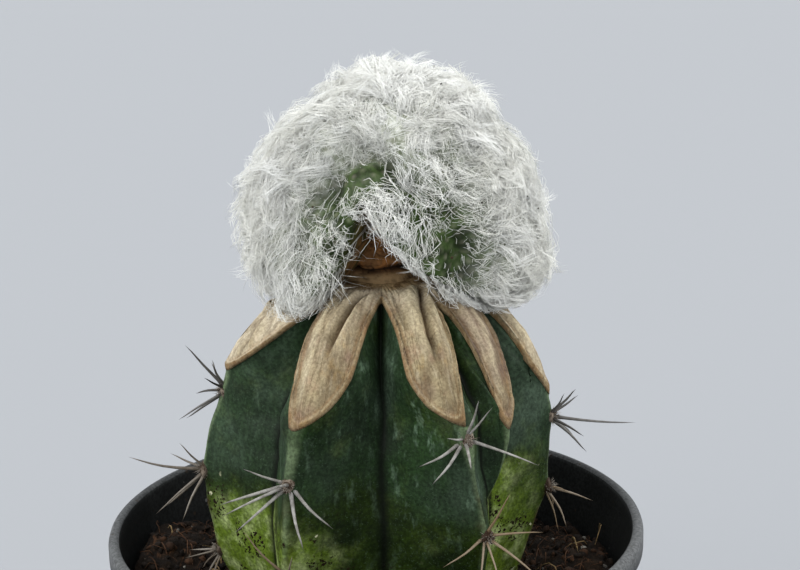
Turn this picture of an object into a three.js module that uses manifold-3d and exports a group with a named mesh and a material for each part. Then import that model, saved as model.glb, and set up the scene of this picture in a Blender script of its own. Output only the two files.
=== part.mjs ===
// A small grafted cactus in a round nursery pot, in millimetres, +Z up, front towards -Y.
// A white-haired crested scion sits on a ribbed green rootstock whose rib tops were cut back
// to a dome that dried to a tan skin. The origin is on the ground under the pot's centre.
import * as THREE from 'three';
import { mergeVertices } from 'three/addons/utils/BufferGeometryUtils.js';
import Module from 'manifold-3d';

const wasm = await Module();
wasm.setup();

// Driving dimensions
const POT = { rim: 42.5, height: 70, foot: 32.0, bandHeight: 4.2, bandStep: 1.2, wall: 1.1, segments: 36 };
const FLOOR = { top: 3.2, bottom: 2.0, edge: 26.4, ringTop: 1.4 };
const DRAIN = { count: 8, ring: 20, radius: 2.4, centre: 3.0, sides: 10 };
const SOIL = {
  level: 58, clearance: 0.35, lump: 1.3, edgeDrop: 2.2, rings: [37.9, 36, 32.5, 29, 25.5, 21, 14],
};
const BARK = { count: 26, nearest: 27.5, furthest: 36.5, smallest: 0.9, largest: 2.0 };
const FIBRE = { count: 9, nearest: 27, furthest: 30, shortest: 4, longest: 7, radius: 0.5 };
const SEAT_GAP = 0.3;
const SHORTEST_EDGE = 0.02;
const TURN = 2 * Math.PI;

// The rootstock: its axis leans a little towards +X
const STEM = { axisX: 0.7, lean: 0.035, leanFrom: 80, bottom: 36, core: 8.2, coreFrom: 84, widest: 1.25 };
const SHOULDER = { from: 84, to: 97 };
const FOOT = { from: 66, to: 90 };
// Heights of the rows below the cut, then shares of the climb from there to the cut
const LOW_HEIGHTS = [STEM.bottom, 40, 46, 52, 58, 62, 68, 75, 81, 86];
const FLANK_CLIMB = [0.22, 0.44, 0.64, 0.83, 1];
// Columns beside each crest: how far out the cut ends there, and the share of the way to the groove
const COLUMN_LEVELS = [[0.94, 0.1], [0.8, 0.26], [0.55, 0.48], [0.22, 0.76]];
const COLUMN_BEND = { from: 84, to: 92 };
// Height, then the radius of the rib crests before they were cut
const CREST_LINE = [[36, 7.5], [40, 12.5], [46, 17.5], [52, 20.8], [58, 23.0], [62, 24.4], [68, 26.2],
  [75, 27.8], [82, 27.9], [88, 27.2], [93, 26.6], [100, 26.6], [114, 26.4]];
// Height, then a rib's half width at the axis, how blunt its flanks are and how sharp its crest is
const FLANKS = [[36, 7.2, 1.1, 0.95], [58, 20, 1.1, 0.95], [75, 19.5, 1.15, 0.95], [86, 15.5, 1.3, 0.9],
  [91, 11, 1.9, 0.75], [96, 7.2, 3.2, 0.55], [101, 5.5, 4.5, 0.5], [106, 4.4, 6, 0.5], [110, 3.8, 6, 0.5],
  [114, 3.7, 6, 0.5]];

// Each rib: height and azimuth along its crest (0 faces the front, positive to +X), how far it shrinks
// at the shoulder and at the soil, its share of the full width, the height where its cut runs out and
// the heights of its areoles
const RIBS = [
  { name: 'frontLeft', line: [[62, -32], [94, -28], [97, -24.5], [101, -22]], shoulder: 0, base: 0,
    width: 1, tip: 95.2, areoles: [85.6, 70.5] },
  { name: 'frontRight', line: [[62, 37.5], [76, 36], [86, 31.5], [94, 28], [97, 23], [101, 20], [108, 21]],
    shoulder: 0, base: 0, width: 1, tip: 95.6, areoles: [91.8, 76, 63] },
  { name: 'inserted',
    line: [[62, 40], [79, 40], [84, 43], [90, 46.5], [94, 47.5], [100, 49], [104, 53], [108, 57]],
    shoulder: 0, base: 7.5, width: 0.8, tip: 94.6, areoles: [] },
  { name: 'right', line: [[62, 88], [94, 84], [100, 84], [104, 90], [108, 97]], shoulder: 0, base: 1.2,
    width: 1, tip: 93.4, areoles: [87.3, 71.5] },
  { name: 'backRight', line: [[62, 144], [94, 144], [108, 153]], shoulder: 0.6, base: 0.3,
    width: 1, tip: 95.2, areoles: [89.5, 75, 63] },
  { name: 'backLeft', line: [[62, 204], [94, 209], [108, 222]], shoulder: 0.9, base: 0,
    width: 1, tip: 96.0, areoles: [91, 77.5, 64.5] },
  { name: 'left', line: [[62, 274], [92, 277], [98.8, 281], [101, 285], [104, 290], [108, 296]],
    shoulder: 2.6, base: 0.3, width: 1.12, tip: 98.4, areoles: [93.6, 80.4, 66.5] },
];
// The cut: a flat collar, then a dome that falls away to the tips
const COLLAR = { radius: 6.8, height: 110.6 };
const DOME = { straight: 0.18, power: 2.6, furthest: 1.15 };
const SKIN = { thickness: 0.7, relief: 0.4, thinning: 0.4, fold: 0.3, waves: 5.2 };
// Layers of the cut: an offset that thins towards the tips, then a constant one, along the normal
const LAYERS = {
  stem: [-SKIN.thickness, -SEAT_GAP],
  skinUnder: [-SKIN.thickness, 0],
  skinOver: [SKIN.relief, 0],
  clear: [SKIN.relief, SKIN.fold + 2.5 * SEAT_GAP],
};

// Spines in millimetres along X, Y and Z, read from the nearest areoles; the others follow a star rule
const NAMED_SPINES = {
  'left-0': [[-5.6, -1.5, 8.0], [-1.6, -2.5, 5.4], [-1.9, 2.0, 4.4], [-2.8, -3.2, 3.2], [-4.8, 2.6, -1.3],
    [-7.2, -1.8, -4.0], [-6.4, 1.6, -5.0]],
  'left-1': [[-11.7, -1.2, 2.9], [-5.6, 2.6, 1.9], [-3.5, -2.2, 5.4], [-7.9, -2.0, -6.6], [-6.8, 2.2, -7.0],
    [-3.6, -3.6, -7.3]],
  'frontLeft-0': [[-6.4, -2.0, 3.6], [-10.2, -2.6, -1.8], [-9.4, -4.8, -2.6], [-8.0, -3.2, -6.0],
    [2.2, -4.6, -8.6], [6.6, -3.6, -5.6], [-1.6, -6.4, 2.2]],
  'frontRight-0': [[1.8, -3.0, 7.2], [3.8, -2.6, 5.9], [-3.0, -4.0, 1.8], [-7.2, -3.6, -2.7],
    [-5.3, -4.0, -5.4], [10.4, -4.2, -2.8], [0.5, -5.4, -2.8]],
  'frontRight-1': [[3.4, -3.2, 8.2], [8.3, -2.0, 1.4], [-6.8, -4.4, -2.8], [8.0, -5.0, -5.2],
    [-1.4, -5.6, -5.6], [1.7, -6.2, -5.2]],
  'right-0': [[2.0, -2.6, 4.6], [3.9, -1.0, 4.7], [4.6, 2.6, 2.4], [13.2, -1.4, -1.0], [5.0, -3.0, -2.5],
    [5.8, 0.8, -6.6], [4.6, 3.4, -6.0]],
};
const SPINE = { radius: 0.36, sink: 1.4, star: 7, length: 7.6, spread: 2.2, overSoil: 2.6 };
const AREOLE = { radius: 1.15, proud: 0.25 };

// The crest: an envelope of hair round a centre, over a fleshy fan
const CREST = { x: 4.0, y: 0.5, z: 122.0, rx: 23.2, ry: 19.5, rz: 23.0, core: 3.3, detail: 6 };
const HAIR = {
  count: 640, length: 6.6, radius: 0.42, sink: 1.3, reach: 4.3,
  outward: 0.62, along: 0.75, jitter: 0.7, leastClosed: 0.6,
};
const NECK = {
  x: 1.8, low: 111.55, high: 118.2, radius: 4.4, foot: 6.2, segments: 14, clearance: 0.4,
};
// Swellings of the fan: direction, height and angular width
const SWELLINGS = [
  { to: [-0.60, -0.50, -0.62], by: 3.2, wide: 0.36 }, { to: [0.84, -0.12, -0.56], by: 4.4, wide: 0.38 },
  { to: [0.57, 0.0, 0.82], by: 1.6, wide: 0.30 }, { to: [-0.55, 0.0, 0.83], by: -1.3, wide: 0.30 },
  { to: [0.35, 0.85, 0.35], by: 1.8, wide: 0.40 }, { to: [-0.55, 0.80, -0.15], by: 1.6, wide: 0.40 },
  { to: [-0.92, 0.0, -0.35], by: 1.8, wide: 0.4 }, { to: [-0.25, -0.93, 0.22], by: 0.9, wide: 0.22 },
];
// Valleys between its folds: a path of directions, depth and angular width
const VALLEYS = [
  { depth: 3.4, wide: 0.13, path: [[-0.60, -0.77, 0.22], [-0.54, -0.74, 0.39], [-0.34, -0.71, 0.61],
    [-0.13, -0.75, 0.65], [0.06, -0.89, 0.45], [0.28, -0.90, 0.34]] },
  { depth: 1.6, wide: 0.12, path: [[0.40, -0.71, 0.58], [0.59, -0.69, 0.42], [0.47, -0.88, -0.04],
    [0.60, -0.63, -0.49]] },
  { depth: 1.3, wide: 0.12, path: [[-0.71, -0.69, 0.11], [-0.71, -0.63, -0.31]] },
  { depth: 2.8, wide: 0.14, path: [[-0.75, 0.60, 0.05], [-0.45, 0.72, 0.50], [0.05, 0.78, 0.62],
    [0.42, 0.88, 0.10], [0.35, 0.90, -0.25]] },
  { depth: 1.6, wide: 0.13, path: [[0.70, 0.50, 0.50], [0.82, 0.55, 0.05], [0.75, 0.52, -0.40]] },
];
// The two arches where the hair parts over the neck: azimuth, how high it opens and how wide
const ARCHES = [{ azimuth: -11, rise: 0.92, wide: 27 }, { azimuth: 172, rise: 0.5, wide: 35 }];
const ARCH = { closed: 0.8, soft: 0.28, early: 0.05, inner: 5.8, flare: 2.5 };

const COLOURS = {
  pot: new THREE.MeshStandardMaterial({ color: 0x2b2d2f, roughness: 0.55, metalness: 0 }),
  soil: new THREE.MeshStandardMaterial({ color: 0x2a1b12, roughness: 0.95, metalness: 0 }),
  stem: new THREE.MeshStandardMaterial({ color: 0x2f5a3a, roughness: 0.55, metalness: 0 }),
  skin: new THREE.MeshStandardMaterial({ color: 0xc3a77c, roughness: 0.8, metalness: 0 }),
  union: new THREE.MeshStandardMaterial({ color: 0x6d4526, roughness: 0.85, metalness: 0 }),
  crest: new THREE.MeshStandardMaterial({ color: 0xdfe2dc, roughness: 0.9, metalness: 0 }),
};

const rad = THREE.MathUtils.degToRad;
const { lerp, smoothstep } = THREE.MathUtils;

/** A seeded draw from 0 to 1. */
function drawer(seed) {
  let state = seed;
  return () => {
    state = (state + 0x6d2b79f5) | 0;
    let t = Math.imul(state ^ (state >>> 15), 1 | state);
    t = (t + Math.imul(t ^ (t >>> 7), 61 | t)) ^ t;
    return ((t ^ (t >>> 14)) >>> 0) / 4294967296;
  };
}

/** The value at x of a line through sorted [x, value] points. */
function along(points, x) {
  if (x <= points[0][0]) return points[0][1];
  for (let i = 1; i < points.length; i++) {
    if (x <= points[i][0]) {
      const share = (x - points[i - 1][0]) / (points[i][0] - points[i - 1][0]);
      return lerp(points[i - 1][1], points[i][1], share);
    }
  }
  return points.at(-1)[1];
}

/** A closed geometry as a solid. */
function solid(geometry) {
  const bare = geometry.clone();
  bare.deleteAttribute('normal');
  bare.deleteAttribute('uv');
  const merged = mergeVertices(bare, 1e-5);
  const triVerts = new Uint32Array(merged.index.array);
  const vertProperties = new Float32Array(merged.attributes.position.array);
  return new wasm.Manifold(new wasm.Mesh({ numProp: 3, vertProperties, triVerts }));
}

/** A solid as a geometry, without the shortest edges that cutting leaves. */
function geometryOf(body) {
  const mesh = body.asOriginal().simplify(SHORTEST_EDGE).getMesh();
  const geometry = new THREE.BufferGeometry();
  geometry.setAttribute('position', new THREE.BufferAttribute(new Float32Array(mesh.vertProperties), 3));
  geometry.setIndex(new THREE.BufferAttribute(new Uint32Array(mesh.triVerts), 1));
  geometry.computeVertexNormals();
  return geometry;
}

/** All solids joined, in pairs. */
function joined(bodies) {
  let rest = bodies;
  while (rest.length > 1) {
    const next = [];
    for (let i = 0; i < rest.length; i += 2) {
      next.push(i + 1 < rest.length ? rest[i].add(rest[i + 1]) : rest[i]);
    }
    rest = next;
  }
  return rest[0];
}

/** The largest connected piece of a solid, so that no loose scrap is kept. */
function largest(body) {
  return body.decompose().reduce((best, piece) => (piece.volume() > best.volume() ? piece : best));
}

/** A closed skin over rows of points, each row a closed ring, capped at both ends.
 *  The first few bands may be split along their other diagonal, to lie parallel to a body under them. */
function ringBody(rows, crossed = 0) {
  const columns = rows[0].length;
  const positions = rows.flat().flatMap((p) => [p.x, p.y, p.z]);
  const index = [];
  for (let r = 0; r + 1 < rows.length; r++) {
    for (let c = 0; c < columns; c++) {
      const a = r * columns + c;
      const b = r * columns + ((c + 1) % columns);
      if (r < crossed) index.push(a, b, a + columns, b, b + columns, a + columns);
      else index.push(a, b, b + columns, a, b + columns, a + columns);
    }
  }
  const capped = [[0, true], [rows.length - 1, false]];
  for (const [row, isFirst] of capped) {
    const middle = new THREE.Vector3();
    rows[row].forEach((p) => middle.addScaledVector(p, 1 / columns));
    const centre = positions.length / 3;
    positions.push(middle.x, middle.y, middle.z);
    for (let c = 0; c < columns; c++) {
      const a = row * columns + c;
      const b = row * columns + ((c + 1) % columns);
      if (isFirst) index.push(centre, b, a);
      else index.push(centre, a, b);
    }
  }
  const geometry = new THREE.BufferGeometry();
  geometry.setAttribute('position', new THREE.Float32BufferAttribute(positions, 3));
  geometry.setIndex(index);
  return geometry;
}

/** A lathe about +Z from [radius, height] points. */
function lathe(points, segments) {
  const profile = points.map(([r, z]) => new THREE.Vector2(r, z));
  return new THREE.LatheGeometry(profile, segments).rotateX(Math.PI / 2);
}

/** A slim three-sided needle from a sunk root to its tip. */
function needle(root, tip, radius) {
  const axis = tip.clone().sub(root);
  const cone = new THREE.ConeGeometry(radius, axis.length(), 3, 1).translate(0, axis.length() / 2, 0);
  const turn = new THREE.Quaternion().setFromUnitVectors(new THREE.Vector3(0, 1, 0), axis.normalize());
  return cone.applyQuaternion(turn).translate(root.x, root.y, root.z);
}

// Pot

function potWall(z) {
  const bandLow = POT.height - POT.bandHeight;
  return lerp(POT.foot, POT.rim - POT.bandStep, z / bandLow);
}

function potProfile() {
  const bandLow = POT.height - POT.bandHeight;
  const lip = POT.rim - 1.8;
  return [
    [0, FLOOR.bottom], [FLOOR.edge, FLOOR.bottom], [FLOOR.edge + 0.9, 0], [POT.foot - 0.6, 0],
    [potWall(0.9), 0.9], [potWall(bandLow), bandLow], [POT.rim - 0.4, bandLow + 0.1],
    [POT.rim, bandLow + 0.7], [POT.rim, POT.height - 0.6], [POT.rim - 0.5, POT.height],
    [lip + 0.5, POT.height], [lip, POT.height - 0.5], [potWall(bandLow) - POT.wall, bandLow - 0.8],
    [potWall(FLOOR.top) - POT.wall, FLOOR.top], [potWall(FLOOR.ringTop) - POT.wall - 0.5, FLOOR.ringTop],
    [FLOOR.edge + 1.4, FLOOR.ringTop], [FLOOR.edge + 0.5, FLOOR.top], [0, FLOOR.top],
  ];
}

function makePot() {
  const drains = [];
  for (let i = 0; i <= DRAIN.count; i++) {
    const isCentre = i === DRAIN.count;
    const turn = (i * TURN) / DRAIN.count;
    const distance = isCentre ? 0 : DRAIN.ring;
    const radius = isCentre ? DRAIN.centre : DRAIN.radius;
    const hole = new THREE.CylinderGeometry(radius, radius, 4 * FLOOR.bottom, DRAIN.sides)
      .rotateX(Math.PI / 2)
      .translate(distance * Math.sin(turn), distance * Math.cos(turn), FLOOR.bottom);
    drains.push(solid(hole));
  }
  return geometryOf(solid(lathe(potProfile(), POT.segments)).subtract(joined(drains)));
}

// Rootstock

function axisX(z) {
  return STEM.axisX + STEM.lean * (z - STEM.leanFrom);
}

function ribAzimuth(rib, z) {
  return rad(along(rib.line, z));
}

function ribCrest(rib, z) {
  const atShoulder = rib.shoulder * smoothstep(z, SHOULDER.from, SHOULDER.to);
  const atBase = rib.base * (1 - smoothstep(z, FOOT.from, FOOT.to));
  return along(CREST_LINE, z) - atShoulder - atBase;
}

/** The value of one column of a table with rows of [x, first, second, ...]. */
function column(table, index, x) {
  return along(table.map((row) => [row[0], row[index]]), x);
}

/** A point on the rootstock's axis moved out by a radius. */
function stemPoint(azimuth, z, r) {
  return new THREE.Vector3(axisX(z) + r * Math.sin(azimuth), -r * Math.cos(azimuth), z);
}

/** How far one rib reaches at an angle off its crest. */
function ribReach(crest, half, blunt, sharp, off) {
  let low = 0;
  let high = crest / Math.cos(off);
  for (let i = 0; i < 20; i++) {
    const r = (low + high) / 2;
    const share = Math.min((r * Math.cos(off)) / crest, 1);
    if (r * Math.sin(off) > half * (1 - share ** blunt) ** sharp) high = r;
    else low = r;
  }
  return low;
}

/** How far the uncut rootstock reaches at a height, in a direction seen from its axis. */
function stemReach(azimuth, z) {
  const [half, blunt, sharp] = [1, 2, 3].map((i) => column(FLANKS, i, z));
  let reach = z > STEM.coreFrom ? STEM.core : 0;
  for (const rib of RIBS) {
    const turn = azimuth - ribAzimuth(rib, z);
    const off = Math.abs(Math.atan2(Math.sin(turn), Math.cos(turn)));
    if (off > STEM.widest) continue;
    reach = Math.max(reach, ribReach(ribCrest(rib, z), half * rib.width, blunt, sharp, off));
  }
  return reach;
}

const TIPS = RIBS.map((rib) => {
  return { azimuth: ribAzimuth(rib, rib.tip), z: rib.tip, r: ribCrest(rib, rib.tip) };
});

/** Where the cut would end in a direction: eased between the tips on either side. */
function tipAt(azimuth) {
  for (let i = 0; i < TIPS.length; i++) {
    const next = TIPS[(i + 1) % TIPS.length];
    const from = TIPS[i].azimuth;
    const to = next.azimuth > from ? next.azimuth : next.azimuth + TURN;
    const turned = from + ((((azimuth - from) % TURN) + TURN) % TURN);
    if (turned <= to) {
      const share = smoothstep(turned, from, to);
      return { z: lerp(TIPS[i].z, next.z, share), r: lerp(TIPS[i].r, next.r, share) };
    }
  }
  return TIPS[0];
}

/** Radius and height on a layer of the cut, at a share of the way from the collar to the tips. */
function cutAt(azimuth, share, layer) {
  const tip = tipAt(azimuth);
  const outer = Math.max(share, 0);
  const { straight, power } = DOME;
  const fall = straight * outer + (1 - straight) * outer ** power;
  const steep = outer > 0 ? straight + (1 - straight) * power * outer ** (power - 1) : 0;
  const slope = (steep * (COLLAR.height - tip.z)) / (tip.r - COLLAR.radius);
  const offset = layer[0] * (1 - SKIN.thinning * outer ** 2) + layer[1];
  const size = Math.hypot(1, slope);
  return {
    r: lerp(COLLAR.radius, tip.r, share) + (offset * slope) / size,
    z: lerp(COLLAR.height, tip.z, fall) + offset / size,
  };
}

/** The share at which a layer of the cut meets the rootstock's flank. */
function cornerShare(azimuth, layer) {
  let low = 0;
  let high = DOME.furthest;
  for (let i = 0; i < 22; i++) {
    const share = (low + high) / 2;
    const { r, z } = cutAt(azimuth, share, layer);
    if (stemReach(azimuth, z) > r) low = share;
    else high = share;
  }
  return low;
}

function cornerRadius(azimuth) {
  return cutAt(azimuth, cornerShare(azimuth, [0, 0]), [0, 0]).r;
}

/** The place between two values where a function is lowest. */
function lowestBetween(from, to, value) {
  let best = from;
  let least = Infinity;
  for (let i = 1; i < 60; i++) {
    const x = lerp(from, to, i / 60);
    const v = value(x);
    if (v < least) {
      least = v;
      best = x;
    }
  }
  return best;
}

/** Between each rib and the next: the groove's azimuth at the cut and along the lower heights. */
const GAPS = RIBS.map((rib, i) => {
  const next = RIBS[(i + 1) % RIBS.length];
  const wrap = i + 1 === RIBS.length ? TURN : 0;
  const line = LOW_HEIGHTS.map((z) => [
    z,
    lowestBetween(ribAzimuth(rib, z), ribAzimuth(next, z) + wrap, (azimuth) => stemReach(azimuth, z)),
  ]);
  const nextTip = TIPS[(i + 1) % TIPS.length];
  return { top: lowestBetween(TIPS[i].azimuth, nextTip.azimuth + wrap, cornerRadius), line };
});

/** The azimuth between a rib's tip and a groove where the cut's corner comes down to a radius. */
function azimuthOf(radius, tip, groove) {
  let near = tip;
  let far = groove;
  for (let i = 0; i < 20; i++) {
    const middle = (near + far) / 2;
    if (cornerRadius(middle) > radius) near = middle;
    else far = middle;
  }
  return near;
}

/** Columns of points that climb the rootstock, closest together at the edges of the cut. */
function stemColumns() {
  const columns = [];
  RIBS.forEach((rib, i) => {
    const before = GAPS[(i + GAPS.length - 1) % GAPS.length];
    const wrap = i === 0 ? TURN : 0;
    const tip = TIPS[i];
    const side = (gap, shift) => {
      const groove = gap.top - shift;
      const inner = cornerRadius(groove);
      return COLUMN_LEVELS.map(([level, share]) => ({
        top: azimuthOf(lerp(inner, tip.r, level), tip.azimuth, groove),
        at: (z) => lerp(ribAzimuth(rib, z), along(gap.line, z) - shift, share),
      }));
    };
    columns.push(...side(before, wrap).reverse());
    columns.push({ top: tip.azimuth, at: (z) => ribAzimuth(rib, z) });
    columns.push(...side(GAPS[i], 0));
    columns.push({ top: GAPS[i].top, at: (z) => along(GAPS[i].line, z) });
  });
  return columns;
}

const COLUMNS = stemColumns();

/** A column's azimuth at a height. */
function columnAzimuth(one, z) {
  return lerp(one.at(z), one.top, smoothstep(z, COLUMN_BEND.from, COLUMN_BEND.to));
}

/** Rows of points up the flanks to a layer of the cut. */
function flankRows(layer, grow) {
  const rows = LOW_HEIGHTS.map((z) => COLUMNS.map((one) => {
    const azimuth = columnAzimuth(one, z);
    return stemPoint(azimuth, z, stemReach(azimuth, z) + grow);
  }));
  for (const climb of FLANK_CLIMB) {
    rows.push(COLUMNS.map((one) => {
      const corner = cutAt(one.top, cornerShare(one.top, layer), layer);
      const z = lerp(LOW_HEIGHTS.at(-1), corner.z, climb);
      const azimuth = columnAzimuth(one, z);
      return stemPoint(azimuth, z, climb === 1 ? corner.r + grow : stemReach(azimuth, z) + grow);
    }));
  }
  return rows;
}

/** A row of points on a layer of the cut, at a part of the way from the collar to its corner. */
function cutRow(part, layer, grow, fold) {
  return COLUMNS.map((one, i) => {
    const corner = cornerShare(one.top, layer);
    const { r, z } = cutAt(one.top, part < 0 ? part : part * corner, layer);
    const lift = fold * Math.cos(SKIN.waves * i + 1.3 * part) * Math.sin(Math.PI * Math.max(part, 0));
    return stemPoint(one.top, z + lift, r + (part === 1 ? grow : 0));
  });
}

/** The cut rootstock as one body. */
function stemBody(layer, grow) {
  const cover = [0.5, 0, -0.5].map((part) => cutRow(part, layer, grow, 0));
  return solid(ringBody([...flankRows(layer, grow), ...cover]));
}

/** The spines of an areole as steps from it: those read from the nearest ones, or a star. */
function starSpines(name, at) {
  const listed = NAMED_SPINES[name];
  if (listed) return listed.map((v) => new THREE.Vector3(...v));
  const draw = drawer(Math.round(at.z * 31 + at.x * 17 + at.y * 7));
  const out = new THREE.Vector3(at.x, at.y, 0).normalize();
  const side = new THREE.Vector3(-out.y, out.x, 0);
  const spines = [];
  for (let i = 0; i < SPINE.star; i++) {
    const turn = ((i + 0.3 * draw()) * TURN) / SPINE.star;
    const length = SPINE.length + SPINE.spread * (draw() - 0.5) * 2;
    const lift = 0.35 + 0.4 * draw();
    spines.push(side.clone().multiplyScalar(Math.cos(turn) * length)
      .addScaledVector(new THREE.Vector3(0, 0, 1), Math.sin(turn) * length)
      .addScaledVector(out, lift * length));
  }
  return spines;
}

/** One areole: a low pad on a rib's crest with its spines. */
function areole(rib, i) {
  const z = rib.areoles[i];
  const at = stemPoint(ribAzimuth(rib, z), z, ribCrest(rib, z));
  const out = new THREE.Vector3(at.x - axisX(z), at.y, 0).normalize();
  const pad = new THREE.IcosahedronGeometry(AREOLE.radius, 0);
  const seat = at.clone().addScaledVector(out, AREOLE.proud - AREOLE.radius * 0.35);
  pad.translate(seat.x, seat.y, seat.z);
  const root = at.clone().addScaledVector(out, -SPINE.sink * 0.7);
  const needles = starSpines(`${rib.name}-${i}`, at).map((v) => {
    const tip = at.clone().add(v);
    tip.z = Math.max(tip.z, SOIL.level + SPINE.overSoil);
    return solid(needle(root, tip, SPINE.radius));
  });
  return joined([solid(pad), ...needles]);
}

function makeRootstock() {
  const areoles = joined(RIBS.flatMap((rib) => rib.areoles.map((z, i) => areole(rib, i))));
  const skinSpace = skinBody(LAYERS.stem, LAYERS.clear, SEAT_GAP);
  return geometryOf(largest(stemBody(LAYERS.stem, 0).add(areoles.subtract(skinSpace))));
}

/** The tan skin over the cut, between two of its layers. */
function skinBody(under, over, grow) {
  const below = [-0.5, 0, 0.5, 1].map((part) => cutRow(part, under, grow, 0));
  const above = [1, 0.8, 0.55, 0.3, 0, -0.5].map((part) => cutRow(part, over, grow, SKIN.fold));
  return solid(ringBody([...below, ...above], below.length - 1));
}

// Graft union

function neckProfile(grow) {
  const { low, high, radius, foot } = NECK;
  return [
    [0, low - grow], [foot + grow, low - grow], [foot - 0.3 + grow, low + 0.7],
    [radius + 0.5 + grow, low + 1.9], [radius + grow, low + 3.4], [radius + 0.2 + grow, high - 1.4],
    [radius + 0.9 + grow, high + grow], [0, high + grow],
  ];
}

function makeNeck(grow) {
  return lathe(neckProfile(grow), NECK.segments).translate(NECK.x, 0, 0);
}

// Crest

/** How close a direction is to a path of directions: 1 on it, falling to 0. */
function closeness(path, wide, d) {
  let best = Infinity;
  for (let i = 0; i + 1 < path.length; i++) {
    for (let s = 0; s <= 4; s++) {
      const p = new THREE.Vector3(...path[i]).lerp(new THREE.Vector3(...path[i + 1]), s / 4).normalize();
      best = Math.min(best, p.distanceTo(d));
    }
  }
  return Math.exp(-((best / wide) ** 2));
}

/** How far the crest stays closed in a direction: 0 inside its hollow underside, 1 on its fan. */
function closedShare(d, early) {
  const azimuth = Math.atan2(d.x, -d.y);
  let start = ARCH.closed - early;
  for (const arch of ARCHES) {
    const turn = azimuth - rad(arch.azimuth);
    const off = Math.abs(Math.atan2(Math.sin(turn), Math.cos(turn)));
    start -= arch.rise * Math.exp(-off / rad(arch.wide));
  }
  return 1 - smoothstep(-d.z, start, start + ARCH.soft);
}

/** The radius of the hair's outer envelope from the crest's centre, drawn in by an inset. */
function crestRadius(d, inset) {
  let radius = 1 / Math.hypot(d.x / CREST.rx, d.y / CREST.ry, d.z / CREST.rz);
  for (const { to, by, wide } of SWELLINGS) {
    radius += by * Math.exp(-((new THREE.Vector3(...to).normalize().distanceTo(d) / wide) ** 2));
  }
  for (const { depth, wide, path } of VALLEYS) radius -= depth * closeness(path, wide, d);
  radius += 0.35 * Math.sin(9 * d.x + 3 * d.z) * Math.sin(8 * d.y - 5 * d.z);
  const inner = ARCH.inner + ARCH.flare * (1 + d.z);
  return lerp(inner, radius - inset, closedShare(d, ARCH.early));
}

const CREST_CENTRE = new THREE.Vector3(CREST.x, CREST.y, CREST.z);

function crestCore() {
  const ball = new THREE.IcosahedronGeometry(1, CREST.detail);
  ball.deleteAttribute('normal');
  ball.deleteAttribute('uv');
  const bare = mergeVertices(ball, 1e-4);
  const position = bare.attributes.position;
  for (let i = 0; i < position.count; i++) {
    const d = new THREE.Vector3().fromBufferAttribute(position, i).normalize();
    const p = d.clone().multiplyScalar(crestRadius(d, CREST.core)).add(CREST_CENTRE);
    position.setXYZ(i, p.x, p.y, p.z);
  }
  return solid(bare);
}

/** Where the hair lies to: down and outwards from the top of the fan. */
function hairFlow(d) {
  const fall = new THREE.Vector3(0.5 * d.x, 0.3 * d.y, -1);
  return fall.addScaledVector(d, -fall.dot(d));
}

function crestNeedles() {
  const draw = drawer(2741);
  const golden = Math.PI * (3 - Math.sqrt(5));
  const needles = [];
  for (let i = 0; i < HAIR.count; i++) {
    const dz = 1 - (2 * (i + 0.5)) / HAIR.count;
    const ring = Math.sqrt(1 - dz * dz);
    const d = new THREE.Vector3(ring * Math.cos(i * golden), ring * Math.sin(i * golden), dz);
    const jitter = new THREE.Vector3(draw() - 0.5, draw() - 0.5, draw() - 0.5);
    const length = HAIR.length * (0.85 + 0.3 * draw());
    if (closedShare(d, ARCH.early) < HAIR.leastClosed) continue;
    const root = d.clone().multiplyScalar(crestRadius(d, CREST.core) - HAIR.sink);
    const way = d.clone().multiplyScalar(HAIR.outward)
      .addScaledVector(hairFlow(d), HAIR.along)
      .addScaledVector(jitter, HAIR.jitter)
      .normalize();
    const rise = way.dot(d) * length;
    const share = rise > HAIR.reach ? HAIR.reach / rise : 1;
    const tip = root.clone().addScaledVector(way, length * share);
    needles.push(solid(needle(root.add(CREST_CENTRE), tip.add(CREST_CENTRE), HAIR.radius)));
  }
  return needles;
}

function makeCrest() {
  const kept = stemBody(LAYERS.clear, NECK.clearance).add(solid(makeNeck(NECK.clearance)));
  return geometryOf(largest(joined([crestCore(), ...crestNeedles()]).subtract(kept)));
}

// Soil

/** Height of the soil's top above its mean. */
function soilLump(x, y) {
  return SOIL.lump * (0.55 * Math.sin(0.21 * x + 1.3) * Math.cos(0.17 * y - 0.4)
    + 0.3 * Math.sin(0.47 * x - 0.39 * y) + 0.2 * Math.cos(0.83 * y + 0.31 * x));
}

function soilBlock() {
  const gap = SOIL.clearance;
  const inner = (z) => potWall(z) - POT.wall - gap;
  const ring = (r, height) => Array.from({ length: POT.segments }, (_, i) => {
    const turn = (i * TURN) / POT.segments;
    const [x, y] = [r * Math.cos(turn), r * Math.sin(turn)];
    return new THREE.Vector3(x, y, height(x, y));
  });
  const floor = FLOOR.top + gap;
  const edge = SOIL.level - SOIL.edgeDrop;
  const rows = [
    ring(FLOOR.edge + 0.5, () => floor),
    ring(inner(floor) - 0.2, () => floor),
    ring(inner(edge), () => edge),
  ];
  for (const r of SOIL.rings) rows.push(ring(r, (x, y) => SOIL.level + soilLump(x, y)));
  return solid(ringBody(rows));
}

/** A drawn place on the soil's top between two distances from the middle. */
function soilPlace(draw, nearest, furthest) {
  const turn = draw() * TURN;
  const r = lerp(nearest, furthest, draw());
  const [x, y] = [r * Math.cos(turn), r * Math.sin(turn)];
  return { turn, point: new THREE.Vector3(x, y, SOIL.level + soilLump(x, y)) };
}

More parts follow.
